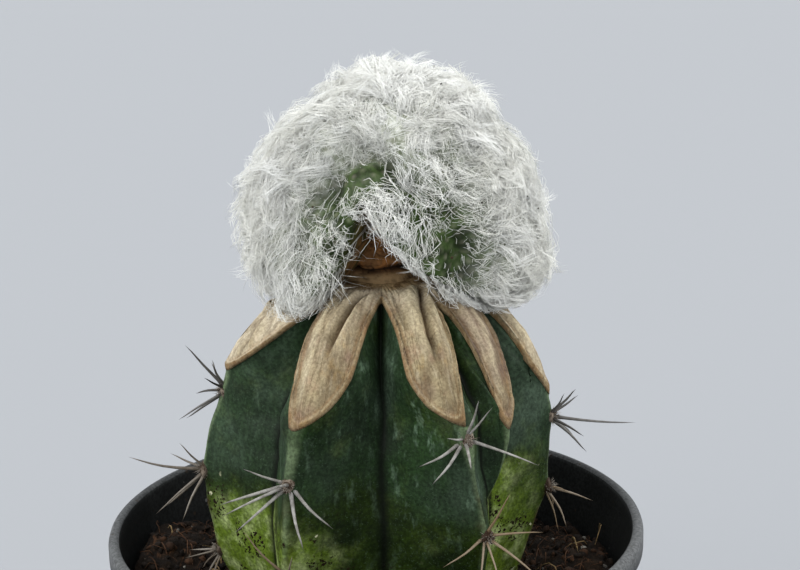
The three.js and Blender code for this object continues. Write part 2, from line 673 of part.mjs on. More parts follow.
/** Bits of bark and dry fibre that lie in the top of the soil. */
function soilBits() {
  const draw = drawer(911);
  const bits = [];
  for (let i = 0; i < BARK.count; i++) {
    const { point } = soilPlace(draw, BARK.nearest, BARK.furthest);
    const size = lerp(BARK.smallest, BARK.largest, draw());
    const bit = new THREE.IcosahedronGeometry(size, 0)
      .scale(1, lerp(0.6, 1.3, draw()), 0.7)
      .rotateZ(draw() * TURN);
    bits.push(solid(bit.translate(point.x, point.y, point.z + size * 0.1)));
  }
  for (let i = 0; i < FIBRE.count; i++) {
    const { turn, point } = soilPlace(draw, FIBRE.nearest, FIBRE.furthest);
    const way = turn + lerp(-1.2, 1.2, draw());
    const reach = lerp(FIBRE.shortest, FIBRE.longest, draw());
    const root = point.clone().setZ(point.z - 2 * FIBRE.radius);
    const rise = lerp(1.6, 3.4, draw());
    const tip = root.clone().add(new THREE.Vector3(reach * Math.cos(way), reach * Math.sin(way), rise));
    bits.push(solid(needle(root, tip, FIBRE.radius)));
  }
  return bits;
}

function makeSoil() {
  const heights = [STEM.bottom - SEAT_GAP, ...LOW_HEIGHTS.slice(1, -2)];
  const hole = heights.map((z) => COLUMNS.map((one) => {
    const azimuth = columnAzimuth(one, z);
    return stemPoint(azimuth, z, stemReach(azimuth, z) + SEAT_GAP + 0.1);
  }));
  return geometryOf(largest(joined([soilBlock(), ...soilBits()]).subtract(solid(ringBody(hole)))));
}

const pieces = [
  ['pot', makePot(), COLOURS.pot],
  ['soil', makeSoil(), COLOURS.soil],
  ['rootstock', makeRootstock(), COLOURS.stem],
  ['cut_rib_skin', geometryOf(skinBody(LAYERS.skinUnder, LAYERS.skinOver, 0)), COLOURS.skin],
  ['graft_union', makeNeck(0), COLOURS.union],
  ['crest', makeCrest(), COLOURS.crest],
];

const cactus = new THREE.Group();
for (const [name, geometry, material] of pieces) {
  const mesh = new THREE.Mesh(geometry, material);
  mesh.name = name;
  cactus.add(mesh);
}

export default cactus;
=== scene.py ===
# A small grafted cactus in a nursery pot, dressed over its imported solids.
# Shapes are worked out in millimetres and put into the frame's metres when a mesh is made.
# +Z is up, the front faces -Y, and the origin is on the ground under the pot's middle.
import math

import bpy
import numpy as np
from mathutils import Matrix, Vector, kdtree


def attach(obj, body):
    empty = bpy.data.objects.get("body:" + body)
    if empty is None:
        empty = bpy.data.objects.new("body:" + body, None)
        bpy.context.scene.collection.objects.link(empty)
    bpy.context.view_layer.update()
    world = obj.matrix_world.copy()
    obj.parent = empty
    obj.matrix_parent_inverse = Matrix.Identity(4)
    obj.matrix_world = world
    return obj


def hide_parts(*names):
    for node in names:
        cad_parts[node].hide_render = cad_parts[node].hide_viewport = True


bl_info = {
    "name": "Grafted Crested Cactus",
    "version": (1, 0, 0),
    "blender": (4, 5, 0),
    "location": "3D View > Sidebar > Cactus",
    "description": "Builds a white-haired crested cactus grafted on a ribbed rootstock, in a nursery pot",
    "category": "Add Mesh",
}

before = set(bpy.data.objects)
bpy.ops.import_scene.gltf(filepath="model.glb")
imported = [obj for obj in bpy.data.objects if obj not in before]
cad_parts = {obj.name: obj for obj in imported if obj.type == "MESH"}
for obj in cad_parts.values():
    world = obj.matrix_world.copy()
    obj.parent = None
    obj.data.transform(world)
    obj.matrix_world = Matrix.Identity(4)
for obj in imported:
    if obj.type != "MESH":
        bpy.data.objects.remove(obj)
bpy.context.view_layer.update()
MM = 0.001
TURN = 2 * math.pi
SMOOTH_ANGLE = math.radians(40)

# Pot: its wall and rim, its floor and its drainage holes
POT = dict(rim=42.5, height=70.0, foot=32.0, band=4.2, step=1.2, wall=1.1, lip=1.8, sides=160)
FLOOR = dict(top=3.2, bottom=2.0, edge=26.4, ring=1.4)
DRAIN = dict(count=8, ring=20.0, radius=2.4, centre=3.0)
# How pale the rim is at the back and the front, and where that sets in: its wear is real, and its being darker
# at the back than at the front is painted shade
WEAR_AND_LIGHT = dict(back=0.15, front=0.9, y=(-28, 12), z=(66.2, 69.6))

# Soil: its level, lumps and floor, its gap to the pot, and how finely its top is divided
SOIL = dict(level=58.0, lump=1.3, floor=3.55, gap=0.35, inner=14.0, sides=300, step=0.4)
# Heaps in the soil's top: place, width and depth, and height
HEAPS = [(-38, 6, 13, 24, 7.2), (34, 8, 9, 17, 2.8), (2, 33, 18, 7, 1.5)]
# What lies on the soil between two distances from its middle: name, count, sizes or lengths, thicknesses,
# and a colour: a setting's name or the colour itself, and how much of it
LITTER = dict(nearest=19.5, furthest=38.0)
CRUMBS = [("peat_crumbs", 900, (0.25, 0.85), "peat", 3.0), ("bark_bits", 260, (0.3, 1.05), "bark", 1.0),
          ("grit", 70, (0.2, 0.5), (0.32, 0.30, 0.26), 1.0)]
FIBRES = [("peat_fibres", 420, (1.5, 5.5), (0.05, 0.14), "bark", 1.5),
          ("straw", 46, (3.0, 10.0), (0.08, 0.2), (0.36, 0.24, 0.11), 1.0)]

# Rootstock: its axis leans a little towards +X
STEM = dict(axis=0.7, lean=0.035, lean_from=80.0, low=36.0, high=113.0, core=8.2, core_from=84.0, widest=1.25)
CREST_LINE = [(36, 7.5), (40, 12.5), (46, 17.5), (52, 20.8), (58, 23.0), (62, 24.4), (68, 26.2),
              (75, 27.8), (82, 27.9), (88, 27.2), (93, 26.6), (100, 26.6), (114, 26.4)]
# Height, a rib's half width at the axis, how blunt its flanks are and how sharp its crest is
FLANKS = [(36, 7.2, 1.1, 0.95), (58, 20, 1.1, 0.95), (75, 19.5, 1.15, 0.95), (86, 15.5, 1.3, 0.9),
          (91, 11, 1.9, 0.75), (96, 7.2, 3.2, 0.55), (101, 5.5, 4.5, 0.5), (106, 4.4, 6, 0.5),
          (110, 3.8, 6, 0.5), (114, 3.7, 6, 0.5)]
# Each rib's crest by height and azimuth, how far it shrinks at the shoulder and at the soil,
# its share of the full width, its upper flanks' shares of that to either side, the height of its tip
# and the heights of its areoles
RIBS = [
    dict(name="front_left", line=[(62, -32), (94, -28), (97, -24.5), (101, -22)],
         shoulder=0.0, base=0.0, width=1.0, flanks=(1.0, 1.0), tip=95.0, areoles=[85.6, 70.5]),
    dict(name="front_right", line=[(62, 37.5), (76, 36), (86, 31.5), (94, 28), (97, 23), (101, 20), (108, 21)],
         shoulder=0.0, base=0.0, width=1.0, flanks=(0.84, 1.0), tip=95.0, areoles=[91.8, 76, 63]),
    dict(name="inserted", line=[(62, 40), (79, 40), (84, 43), (90, 46.5), (94, 47.5), (100, 49), (104, 53),
                                (108, 57)],
         shoulder=0.0, base=7.5, width=0.8, flanks=(1.0, 0.85), tip=92.6, areoles=[]),
    dict(name="right", line=[(62, 88), (94, 87), (100, 86), (104, 89), (108, 92)],
         shoulder=0.0, base=1.2, width=1.0, flanks=(0.9, 1.1), tip=92.2, areoles=[87.3, 75.5]),
    dict(name="back_right", line=[(62, 144), (94, 144), (108, 153)],
         shoulder=0.6, base=0.3, width=1.0, flanks=(1.1, 1.0), tip=95.2, areoles=[89.5, 75, 63]),
    dict(name="back_left", line=[(62, 204), (94, 209), (108, 222)],
         shoulder=0.9, base=0.0, width=1.0, flanks=(1.0, 1.1), tip=96.0, areoles=[91, 77.5, 64.5]),
    dict(name="left", line=[(62, 274), (92, 277), (98.8, 281), (101, 285), (104, 290), (108, 296)],
         shoulder=2.6, base=0.3, width=1.12, flanks=(1.0, 1.0), tip=98.4, areoles=[93.6, 80.4, 66.5]),
]
# Columns of points between a rib's crest and the groove on either side
COLUMNS_A_SIDE = 46
# Height over which the rows close up to the cut's edge, and how many do
SHOULDER, SHOULDER_ROWS = 86.0, 33
# Heights at which the grooves are found
HEIGHTS = [36, 40, 46, 52, 58, 62, 68, 75, 81, 86, 90, 94, 97, 100, 103, 106, 109, 112]
# How far in a column ends at the cut, from groove to tip, and its share of the way from crest to groove
COLUMN_LEVELS = [(0, 1), (0.22, 0.76), (0.55, 0.48), (0.8, 0.26), (0.94, 0.1), (1, 0)]

# The cut: a flat collar, then a dome that falls away to the tips
COLLAR = dict(radius=6.8, height=110.6)
DOME = dict(straight=0.18, power=2.6, furthest=1.15)
# How much thinner the skin gets towards its tips, and the radius at which angles across it are measured
SKIN = dict(thinning=0.4, round=17, rows=72, spacing=1.15)
# How far a layer's edge may stray from the edge that the columns follow
EDGE_SLACK = 0.06
# Layers over the cut: height that thins towards the tips, and height that stays
STEM_LAYER = (-0.7, -0.12)
UNDER_LAYER = (-0.7, -0.2)
OVER_LAYER = (0.4, 0.0)
HAIR_LAYER = (0.4, 0.45)

# Folds of the cut skin, as (radius, degrees past the rib's tip) along each, with depth and width.
# A fold below zero is a furrow.
FOLDS = {
    "front_left": [
        ([(10.2, 17.0), (13.2, 9.5), (15.8, 8.3), (18.5, 6.5), (21.8, 5.4)], -0.9, 0.42),
        ([(9.6, 21.5), (12.6, 14.8), (16.0, 11.6), (19.0, 8.9), (22.5, 6.6)], 0.30, 0.5),
        ([(8.7, -4.2), (12.0, -0.8), (15.5, 4.0)], -0.35, 0.35),
        ([(9.5, -12.0), (15.9, -4.7), (21.0, -1.8), (25.0, -1.6)], 0.25, 0.9),
        ([(22.4, -0.6), (24.2, -0.3), (26.0, -0.4)], 0.2, 0.4),
    ],
    "front_right": [
        ([(9.6, 12.6), (14.1, 0.0), (18.3, -3.2), (20.6, -3.2), (22.8, -3.2)], -0.95, 0.42),
        ([(10.0, 0.0), (14.5, -9.0), (18.0, -9.8), (20.9, -7.6)], 0.28, 0.55),
        ([(11.1, 15.0), (16.7, 4.4), (20.6, 1.4), (24.0, 0.8)], 0.25, 0.7),
        ([(10.7, -15.0), (15.5, -14.6), (18.8, -12.4)], -0.35, 0.3),
    ],
    "inserted": [
        ([(11.0, 14.0), (14.1, 12.5), (18.4, 8.4), (22.1, 2.1), (25.8, -0.7)], 0.3, 0.7),
        ([(11.0, 4.0), (14.1, 0.5), (18.6, -2.6), (22.2, -4.8), (24.8, -4.9)], -0.5, 0.45),
    ],
    "right": [
        ([(10.0, 6.0), (15.0, 2.0), (20.0, -2.0), (24.5, -1.0)], -0.7, 0.5),
        ([(10.0, -6.0), (15.0, -6.0), (21.0, -6.0), (25.0, -2.5)], 0.3, 0.8),
    ],
    "back_right": [
        ([(9.5, 10.0), (14.0, 4.0), (19.0, 1.0), (23.5, 0.5)], -0.8, 0.5),
        ([(9.5, 1.0), (14.0, -4.0), (19.0, -4.0), (24.5, -1.0)], 0.35, 0.8),
        ([(10.5, -12.0), (15.0, -9.0), (19.5, -7.0)], -0.35, 0.45),
    ],
    "back_left": [
        ([(9.5, 14.0), (14.0, 7.0), (19.0, 3.0), (23.0, 2.0)], -0.75, 0.5),
        ([(10.0, -4.0), (15.0, -4.0), (20.0, -2.0), (25.0, -0.5)], 0.35, 0.9),
    ],
    "left": [
        ([(16.5, 7.4), (18.4, 5.2), (19.5, 6.0)], -0.9, 0.9),
        ([(10.0, 14.0), (14.5, 11.0), (17.0, 8.0), (20.0, 9.5), (23.0, 11.0)], -0.5, 0.55),
        ([(11.0, -4.0), (16.0, -2.0), (21.0, 1.0), (24.5, 1.5)], 0.35, 0.9),
    ],
}

# Over what distance before and after its first and last point a fold fades in and out
FADE = dict(start=(2.0, 0.5), end=(3.5, 0.4))
# The raised skin on both sides of a furrow
LIP = dict(aside=1.35, width=0.85, height=0.7)
# Fine creases: how wide and long, their seed, and how strong
CREASES = [(1.5, 8.0, 200, 1.0), (0.8, 4.0, 201, 0.6)]
# How high the skin's middle stands over its edge, over what width, and how far the whole sinks
CROWN = dict(high=0.50, wide=2.4, sunk=0.24, edge_drop=0.25, edge_wide=0.35)
# The hem along the skin's edge: height, distance from the edge and width of each ridge or groove
HEM = [(0.12, 0.2, 0.13), (-0.16, 0.55, 0.17)]
# How far the rows at the skin's edge stand out, from the lowest up
EDGE_OUT = (0.10, 0.26, 0.30, 0.16)

# Fingers of skin that are darkened, partly by stains and partly as painted shade, and fingers lightened as
# painted light, and how much
STAINED_AND_SHADED = dict(inserted=1.0, front_left=0.35)
LIT_FINGERS = dict(right=0.5, left=0.85)

# Patches of paint on the rootstock: how strong, and what limits each. near gives an azimuth and a width in
# degrees, under a ragged height and its fade, and over the heights between which a patch sets in.
STEM_PATCHES = dict(
    young=[(0.40, dict(under=(78, 14))), (1.1, dict(under=(83, 13), near=(-50, 24))),
           (0.75, dict(under=(84, 12), near=(-78, 15))), (0.85, dict(under=(88, 8), near=(62, 16))),
           (0.6, dict(under=(76, 14), near=(150, 40))), (0.6, dict(under=(76, 14), near=(235, 30))),
           (-0.9, dict(near=(17, 17), over=(50, 66)))],
    bloom=[(0.20, dict()), (0.45, dict(near=(-66, 24))), (0.55, dict(near=(76, 13))),
           (0.30, dict(near=(32, 9), over=(74, 80))), (0.25, dict(near=(-48, 10), over=(82, 86))),
           (0.5, dict(near=(72, 10), over=(84, 90))), (0.75, dict(near=(3, 5), over=(84, 98))),
           (0.25, dict(near=(-8, 4), over=(84, 94))), (0.25, dict(near=(-34, 5)))],
    dirt=[(1.1, dict(under=(86, 14), near=(-55, 32))), (1.1, dict(under=(88, 10), near=(58, 14))),
          (0.7, dict(under=(74, 12)))],
    dust=[(0.12, dict(under=(86, 6)))],
    scuff=[(0.25, dict()), (1.1, dict(near=(14, 12), over=(72, 84))),
           (0.5, dict(near=(-16, 8), over=(88, 94))), (0.5, dict(near=(-8, 7), over=(76, 84))),
           (0.3, dict(near=(28, 10))), (0.5, dict(near=(75, 14), over=(86, 94)))],
    low_height=[(85, dict()), (-5, dict(near=(22, 15))), (3, dict(near=(62, 14)))],
    # A streak of painted shade in the groove right of front_right's crest, laid with the low part's dark olive
    shade_streak=[(0.85, dict(near=(36, 6.5), over=(85, 92)))],
    scab=[(0.4, dict()), (1.0, dict(near=(-84, 20))), (1.0, dict(near=(86, 22)))],
)

# Spines in millimetres along X, Y and Z, read from the nearest areoles; the others follow a star rule
NAMED_SPINES = {
    "left-0": [(-5.6, -1.5, 8.0), (-1.6, -2.5, 5.4), (-1.9, 2.0, 4.4), (-2.8, -3.2, 3.2), (-4.8, 2.6, -1.3),
               (-7.2, -1.8, -4.0), (-6.4, 1.6, -5.0)],
    "left-1": [(-11.7, -1.2, 2.9), (-5.6, 2.6, 1.9), (-3.5, -2.2, 5.4), (-7.9, -2.0, -6.6), (-6.8, 2.2, -7.0),
               (-3.6, -3.6, -7.3)],
    "left-2": [(-5.7, -1.0, -1.0), (-5.0, 0.8, -0.4), (-1.4, -2.6, -6.2), (-2.8, -1.6, -5.6),
               (-3.4, 1.6, -4.2)],
    "front_left-0": [(-6.4, -2.0, 3.6), (-10.2, -2.6, -1.8), (-9.4, -4.8, -2.6), (-8.0, -3.2, -6.0),
                     (2.2, -4.6, -8.6), (6.6, -3.6, -5.6), (-1.6, -6.4, 2.2)],
    "front_right-0": [(1.8, -3.0, 7.2), (3.8, -2.6, 5.9), (-3.0, -4.0, 1.8), (-7.2, -3.6, -2.7),
                      (-5.3, -4.0, -5.4), (10.4, -4.2, -2.8), (0.5, -5.4, -2.8)],
    "front_right-1": [(3.4, -3.2, 8.2), (8.3, -2.0, 1.4), (-6.8, -4.4, -2.8), (8.0, -5.0, -5.2),
                      (-1.4, -5.6, -5.6), (1.7, -6.2, -5.2)],
    "right-0": [(2.0, -2.6, 4.6), (3.9, -1.0, 4.7), (4.6, 2.6, 2.4), (13.2, -1.4, -1.0), (5.0, -3.0, -2.5),
                (5.8, 0.8, -6.6), (4.6, 3.4, -6.0)],
    "right-1": [(7.4, 1.0, -3.2), (3.4, -0.6, -1.0), (1.8, -1.6, -7.6), (3.0, -2.4, -6.4), (1.2, 1.8, -5.0)],
}
# How blackened the spines of some areoles are, and the areoles that have died
OLD_SPINES = {"left-0": 0.9, "left-1": 0.6, "right-0": 0.9, "left-2": 0.4}
DEAD_AREOLES = {"front_right-1": 0.9, "front_left-1": 0.8, "right-1": 0.8, "left-2": 0.5, "left-1": 0.3}
SPINE = dict(star=7, length=(5.6, 9.6), sides=8, rings=7, root=0.29, tip=0.05, sink=0.35,
             over_soil=2.6)
# Shades along a spine as shares of its colour
HORN_SHADES = [(0, 0.45), (1, 0.35), (0.12, 0.8), (0.5, 1.15), (0.85, 0.8)]
AREOLE = dict(radius=1.15, felt=90, felt_length=1.1, felt_width=0.055)

# Graft union: its middle, ends, the radii between which its roughness sets in, the height of the crack round
# it, and its shape as heights and radii
NECK = dict(x=1.8, low=110.4, high=118.2, side=(3.1, 3.6), crack=112.85, rings=44, sides=128, shape=[
    (110.4, 6.2), (111.3, 6.1), (112.2, 5.7), (112.8, 5.3), (113.3, 5.15), (113.7, 5.4), (114.3, 5.2),
    (114.9, 4.6), (115.8, 4.4), (116.8, 4.6), (118.2, 5.3)])

# The crest: an envelope of hair round a centre, over a fleshy fan with a bump under each tuft
CREST = dict(centre=(4.0, 0.5, 122.0), size=(23.2, 19.5, 23.0), flesh=3.4, flesh_radius=18, bump=(0.45, 0.7))
# Swellings and hollows of the envelope: a direction, how high and how wide
SWELLINGS = [
    ((-0.60, -0.50, -0.62), 3.2, 0.36), ((0.86, -0.12, -0.46), 4.2, 0.36), ((0.57, 0.0, 0.82), 0.1, 0.30),
    ((-0.64, 0.0, 0.77), -2.8, 0.32), ((0.0, 0.0, 1.0), -0.7, 0.40), ((0.80, 0.0, 0.60), -1.8, 0.28),
    ((0.35, 0.85, 0.35), 1.8, 0.40), ((-0.55, 0.80, -0.15), 1.6, 0.40), ((-0.92, 0.0, -0.35), 1.8, 0.40),
    ((-0.25, -0.93, 0.22), -0.6, 0.26),
]
# Valleys: how deep, how wide, and their directions. The first is the long one across the front.
VALLEYS = [
    (3.4, 0.13, [(-0.60, -0.77, 0.22), (-0.54, -0.74, 0.39), (-0.34, -0.71, 0.61), (-0.13, -0.75, 0.65),
                 (0.06, -0.89, 0.45), (0.28, -0.90, 0.34)]),
    (1.6, 0.12, [(0.40, -0.71, 0.58), (0.59, -0.69, 0.42), (0.47, -0.88, -0.04), (0.60, -0.63, -0.49)]),
    (1.3, 0.12, [(-0.71, -0.69, 0.11), (-0.71, -0.63, -0.31)]),
    (2.8, 0.14, [(-0.75, 0.60, 0.05), (-0.45, 0.72, 0.50), (0.05, 0.78, 0.62), (0.42, 0.88, 0.10),
                 (0.35, 0.90, -0.25)]),
    (1.6, 0.13, [(0.70, 0.50, 0.50), (0.82, 0.55, 0.05), (0.75, 0.52, -0.40)]),
]
# The band of flesh that shows along the long valley, as directions
BARE_BAND = [(-0.58, -0.77, 0.20), (-0.51, -0.80, 0.32), (-0.36, -0.80, 0.44), (-0.20, -0.82, 0.50),
             (-0.05, -0.84, 0.54)]
# Where the hair is thin: a direction, how wide and how thin
THIN_PLACES = [
    ((0.50, -0.80, -0.32), 0.30, 0.95), ((0.26, -0.96, 0.10), 0.18, 0.45), ((-0.67, -0.72, 0.0), 0.16, 0.6),
    ((0.10, -0.97, -0.20), 0.18, 0.3), ((-0.42, -0.85, -0.15), 0.14, 0.4), ((0.62, -0.75, 0.10), 0.16, 0.45),
    ((-0.30, 0.92, -0.20), 0.22, 0.6), ((0.45, 0.85, 0.30), 0.20, 0.5),
]
# Where the hair parts over the neck: azimuth, how high it opens and how wide to the left and right
ARCHES = [(-16, 1.06, 18, 29), (172, 0.5, 35, 35)]
# How far down the crest is closed between the arches, how softly it ends, and the neck's flesh inside
ARCH = dict(closed=0.75, soft=0.28, inner=5.8, flare=2.5)

# How the hair falls, seen from the front: a place right of and above the crest's centre in millimetres,
# and a direction right and up. The back falls the same way.
COMBED = [
    (-11.2, 11.3, -0.1, -1.0), (-16.5, 5.4, -0.25, -1.0), (-19.1, -0.4, -0.2, -1.0), (-19.7, -7.1, -0.1, -1.0),
    (-17.2, -12.2, 0.1, -1.0), (-13.5, -15.1, 0.15, -1.0), (-9.1, -5.6, 1.0, -0.5), (-8.4, -9.3, 0.8, -0.4),
    (-13.5, -4.9, 0.3, -1.0), (-8.8, 0.6, 1.0, 0.15), (-5.3, 2.5, 1.0, -0.3), (-6.9, 5.4, 0.6, -0.6),
    (-4.4, 13.8, 0.3, -1.0), (-6.9, 15.7, -0.3, -0.8), (-2.5, 19.1, -0.3, 1.0), (1.2, 19.7, 0.0, 1.0),
    (7.1, 19.1, 0.3, 1.0), (1.8, 13.5, 0.35, -1.0), (-0.3, 7.6, 0.45, -1.0), (4.9, 12.1, 0.5, -0.9),
    (7.8, 15.7, 0.9, -0.3), (10.0, 10.6, 0.8, -0.8), (12.9, 7.6, 0.8, -0.7), (17.4, 10.6, 0.9, -0.2),
    (21.0, 3.2, 1.0, -0.1), (21.8, -4.1, 1.0, -0.15), (18.8, -12.2, 1.0, -0.35), (15.9, -14.4, 0.8, -0.6),
    (3.7, -2.2, 0.25, -1.0), (7.1, -5.6, 0.3, -1.0), (1.2, -5.6, 0.7, -0.8), (5.6, -10.3, 0.75, -0.7),
    (11.5, -14.4, 0.85, -0.5), (10.7, -7.8, 0.2, -0.9), (15.4, -4.0, 0.9, 0.2), (-1.8, 0.3, 0.6, -0.7),
]

# How far the hair is combed by each of those places, in millimetres
COMB_REACH = 3.2

# Hair: the radius at which its noise is read, wisps in a tuft, and a hair's thickness from root to tip
WOOL = dict(scale=20, pieces=5, wisps=5, sides=3, radii=(1.0, 0.95, 0.75, 0.3))
# Tufts: how far they stray from even places, how closed the crest is where they stand, and how much hair they
# have at the sides, in front, over bare flesh and at the hollow's edge
TUFTS = dict(stray=0.014, closed=0.3, sides=1.3, front=0.44, bare=0.06, rim=0.7, vary=(0.6, 1.4))
# Locks, which neighbouring tufts share: how far they turn and how high they lie, as noise's strength and size
LOCKS = dict(turn=(1.1, 4.4), turn_vary=0.3, uncombed=1.2, mean=0.74, high=(0.5, 3.6), high_vary=0.15,
             limits=(0.3, 1.1))
# The fringe over the front arch: where it grows and the way that it is pulled
FRINGE = dict(closed=(0.7, 1.0), beside=(-0.05, 0.12), furthest=1.3, low=(-0.62, -0.42), pull=(1.8, 0.0, 0.5))
# Wisps: the shares that stray in full and bare places, and that stand up at the sides and in front; then how
# they turn, how long they are, how far lying and standing ones reach and how high each kind is
WISPS = dict(stray=(0.20, 0.55), upright=(0.38, 0.10), turn=0.42, length=(0.7, 1.2), lying=(0.8, 0.98),
             standing=(0.15, 0.5), high=(0.6, 1.1), stray_high=(0.2, 0.8), tall=(0.8, 1.1), taller=(0.2, 1.5),
             bend=0.14)
# Single hairs: the share that are loose, how far they and the others turn from their wisp, and how they vary
HAIRS = dict(loose=0.14, loose_turn=0.9, turn=0.09, length=(0.75, 1.1), high=(0.86, 1.08),
             curl=(0.035, 0.12), beside=0.42, ahead=0.35, sunk=0.25, drawn_back=(0.06, 0.55))
# A hair's points after its root: shares of its length and height, and how far it is drawn to its wisp
HAIR_POINTS = ((0.30, 0.75, -0.1), (0.66, 1.0, -0.45), (1.0, 0.86, -0.75))

# Specks of peat in the hair: how many are drawn, their radius and how deep they sit
DEBRIS = dict(count=44, size=0.17, sunk=0.9)

# Camera: fitted to the pot's rim, the outlines and the spines in the photograph
CAMERA = dict(place=(4.8303, -297.2986, 194.1420), down=16.0, roll=1.5, lens=90.0, sensor=36.0)

# Lamps: the side that each shines from, how soft it is in degrees, and its share of the key light's strength
LAMPS = [("key", (-0.68, -0.46, 0.58), 70, 1.0), ("side", (0.75, 0.0, 0.50), 60, 0.9)]
SKY = (0.93, 0.96, 1.0, 1)


# Numbers and noise

def ramp(x, low, high):
    """0 below low, 1 above high, and a smooth climb between."""
    t = np.clip((np.asarray(x, float) - low) / (high - low), 0.0, 1.0)
    return t * t * (3 - 2 * t)


def mix(a, b, share):
    return a + (b - a) * share


def unit(v):
    return v / np.maximum(np.linalg.norm(v, axis=-1, keepdims=True), 1e-9)


def column(table, index, x):
    """One column of a table of rows, read at x in its first column."""
    return np.interp(x, [row[0] for row in table], [row[index] for row in table])


def draws(cells, seed):
    """An even draw from 0 to 1 for each whole-number place in space."""
    c = cells.astype(np.int64).astype(np.uint32)
    h = c[..., 0] * np.uint32(374761393) + c[..., 1] * np.uint32(668265263)
    h = h + c[..., 2] * np.uint32(2246822519) + np.uint32((seed * 3266489917) % 4294967296)
    h = (h ^ (h >> np.uint32(15))) * np.uint32(2246822519)
    h = (h ^ (h >> np.uint32(13))) * np.uint32(3266489917)
    return (h ^ (h >> np.uint32(16))) / 4294967295.0


def noise(points, size, seed=0, octaves=1):
    """Smooth noise from -1 to 1 with lumps of about that size."""
    total = np.zeros(points.shape[:-1])
    strength = 1.0
    for octave in range(octaves):
        p = points / size * 2 ** octave + 17.3 * octave
        cell = np.floor(p)
        t = p - cell
        t = t * t * (3 - 2 * t)
        value = np.zeros(points.shape[:-1])
        for corner in range(8):
            step = np.array([corner & 1, corner >> 1 & 1, corner >> 2 & 1])
            weight = np.prod(np.where(step == 1, t, 1 - t), axis=-1)
            value += weight * draws(cell + step, seed + octave)
        total += strength * (2 * value - 1)
        strength *= 0.5
    return total


def noise_vectors(points, size, seed=0, octaves=1):
    return np.stack([noise(points, size, seed + 11 * k, octaves) for k in range(3)], axis=-1)


# Meshes

def piece_from(name, points, loops, sizes, smooth=True):
    """A new object from points in millimetres, the corners of its faces in order and each face's size."""
    mesh = bpy.data.meshes.new(name)
    mesh.vertices.add(len(points))
    mesh.vertices.foreach_set("co", (np.asarray(points, float) * MM).ravel())
    mesh.loops.add(len(loops))
    mesh.loops.foreach_set("vertex_index", np.asarray(loops, np.int32))
    mesh.polygons.add(len(sizes))
    starts = np.concatenate([[0], np.cumsum(sizes)[:-1]])
    mesh.polygons.foreach_set("loop_start", starts.astype(np.int32))
    mesh.polygons.foreach_set("use_smooth", np.full(len(sizes), smooth))
    mesh.update(calc_edges=True)
    mesh.validate()
    piece = bpy.data.objects.new(name, mesh)
    bpy.context.scene.collection.objects.link(piece)
    return piece


def paint(piece, name, values):
    """A value for each point of a mesh, for its material to read."""
    layer = piece.data.attributes.new(name, "FLOAT", "POINT")
    layer.data.foreach_set("value", np.asarray(values, np.float32).ravel())


def capped(rows):
    """The points of rings, and then the middles of the first and the last."""
    return np.vstack([rows.reshape(-1, 3), rows[0].mean(axis=0), rows[-1].mean(axis=0)])


def ring_piece(name, rows):
    """A closed skin over rings of points from the bottom up and over, capped at both ends."""
    count, columns = rows.shape[:2]
    first = np.arange(count * columns).reshape(count, columns)
    a, d = first[:-1], first[1:]
    b, c = np.roll(a, -1, axis=1), np.roll(d, -1, axis=1)
    quads = np.stack([a, b, c, d], axis=-1).reshape(-1, 4)
    low, high = count * columns, count * columns + 1
    bottom = np.stack([np.full(columns, low), np.roll(first[0], -1), first[0]], axis=-1)
    top = np.stack([np.full(columns, high), first[-1], np.roll(first[-1], -1)], axis=-1)
    loops = np.concatenate([quads.ravel(), bottom.ravel(), top.ravel()])
    sizes = np.concatenate([np.full(len(quads), 4), np.full(2 * columns, 3)])
    return piece_from(name, capped(rows), loops, sizes)


def row_normals(rows):
    """Outward normals of rings of points."""
    across = np.roll(rows, -1, axis=1) - np.roll(rows, 1, axis=1)
    up = np.gradient(rows, axis=0)
    return unit(np.cross(across, up))


def strands(name, paths, radii, sides):
    """Closed tapering tubes along paths (count, rings, 3), each ending in a point."""
    count, rings = paths.shape[:2]
    along = unit(np.gradient(paths, axis=1))
    aside = unit(np.cross(along[:, :1], np.where(np.abs(along[:, :1, 2:]) < 0.8, [0, 0, 1.0], [1.0, 0, 0])))
    aside = unit(aside - along * np.sum(aside * along, axis=-1, keepdims=True))
    other = np.cross(along, aside)
    turns = TURN * np.arange(sides) / sides
    spread = aside[:, :, None] * np.cos(turns)[:, None] + other[:, :, None] * np.sin(turns)[:, None]
    rim = paths[:, :-1, None] + spread[:, :-1] * radii[:, :-1, None, None]
    points = np.concatenate([rim.reshape(count, -1, 3), paths[:, -1:]], axis=1)
    each = sides * (rings - 1) + 1
    local = np.arange(sides * (rings - 1)).reshape(rings - 1, sides)
    a, d = local[:-1], local[1:]
    quads = np.stack([a, np.roll(a, -1, axis=1), np.roll(d, -1, axis=1), d], axis=-1).reshape(-1)
    tips = np.stack([local[-1], np.roll(local[-1], -1), np.full(sides, each - 1)], axis=-1).reshape(-1)
    pattern = np.concatenate([quads, tips, local[0][::-1]])
    loops = (pattern[None] + each * np.arange(count)[:, None]).ravel()
    sizes = np.concatenate([np.full(len(quads) // 4, 4), np.full(sides, 3), [sides]])
    piece = piece_from(name, points.reshape(-1, 3), loops, np.tile(sizes, count))
    share = np.append(np.repeat(np.linspace(0, 1, rings)[:-1], sides), 1.0)
    paint(piece, "along", np.tile(share, count))
    return piece, each


def select_none():
    if bpy.context.object and bpy.context.object.mode != "OBJECT":
        bpy.ops.object.mode_set(mode="OBJECT")
    bpy.ops.object.select_all(action="DESELECT")


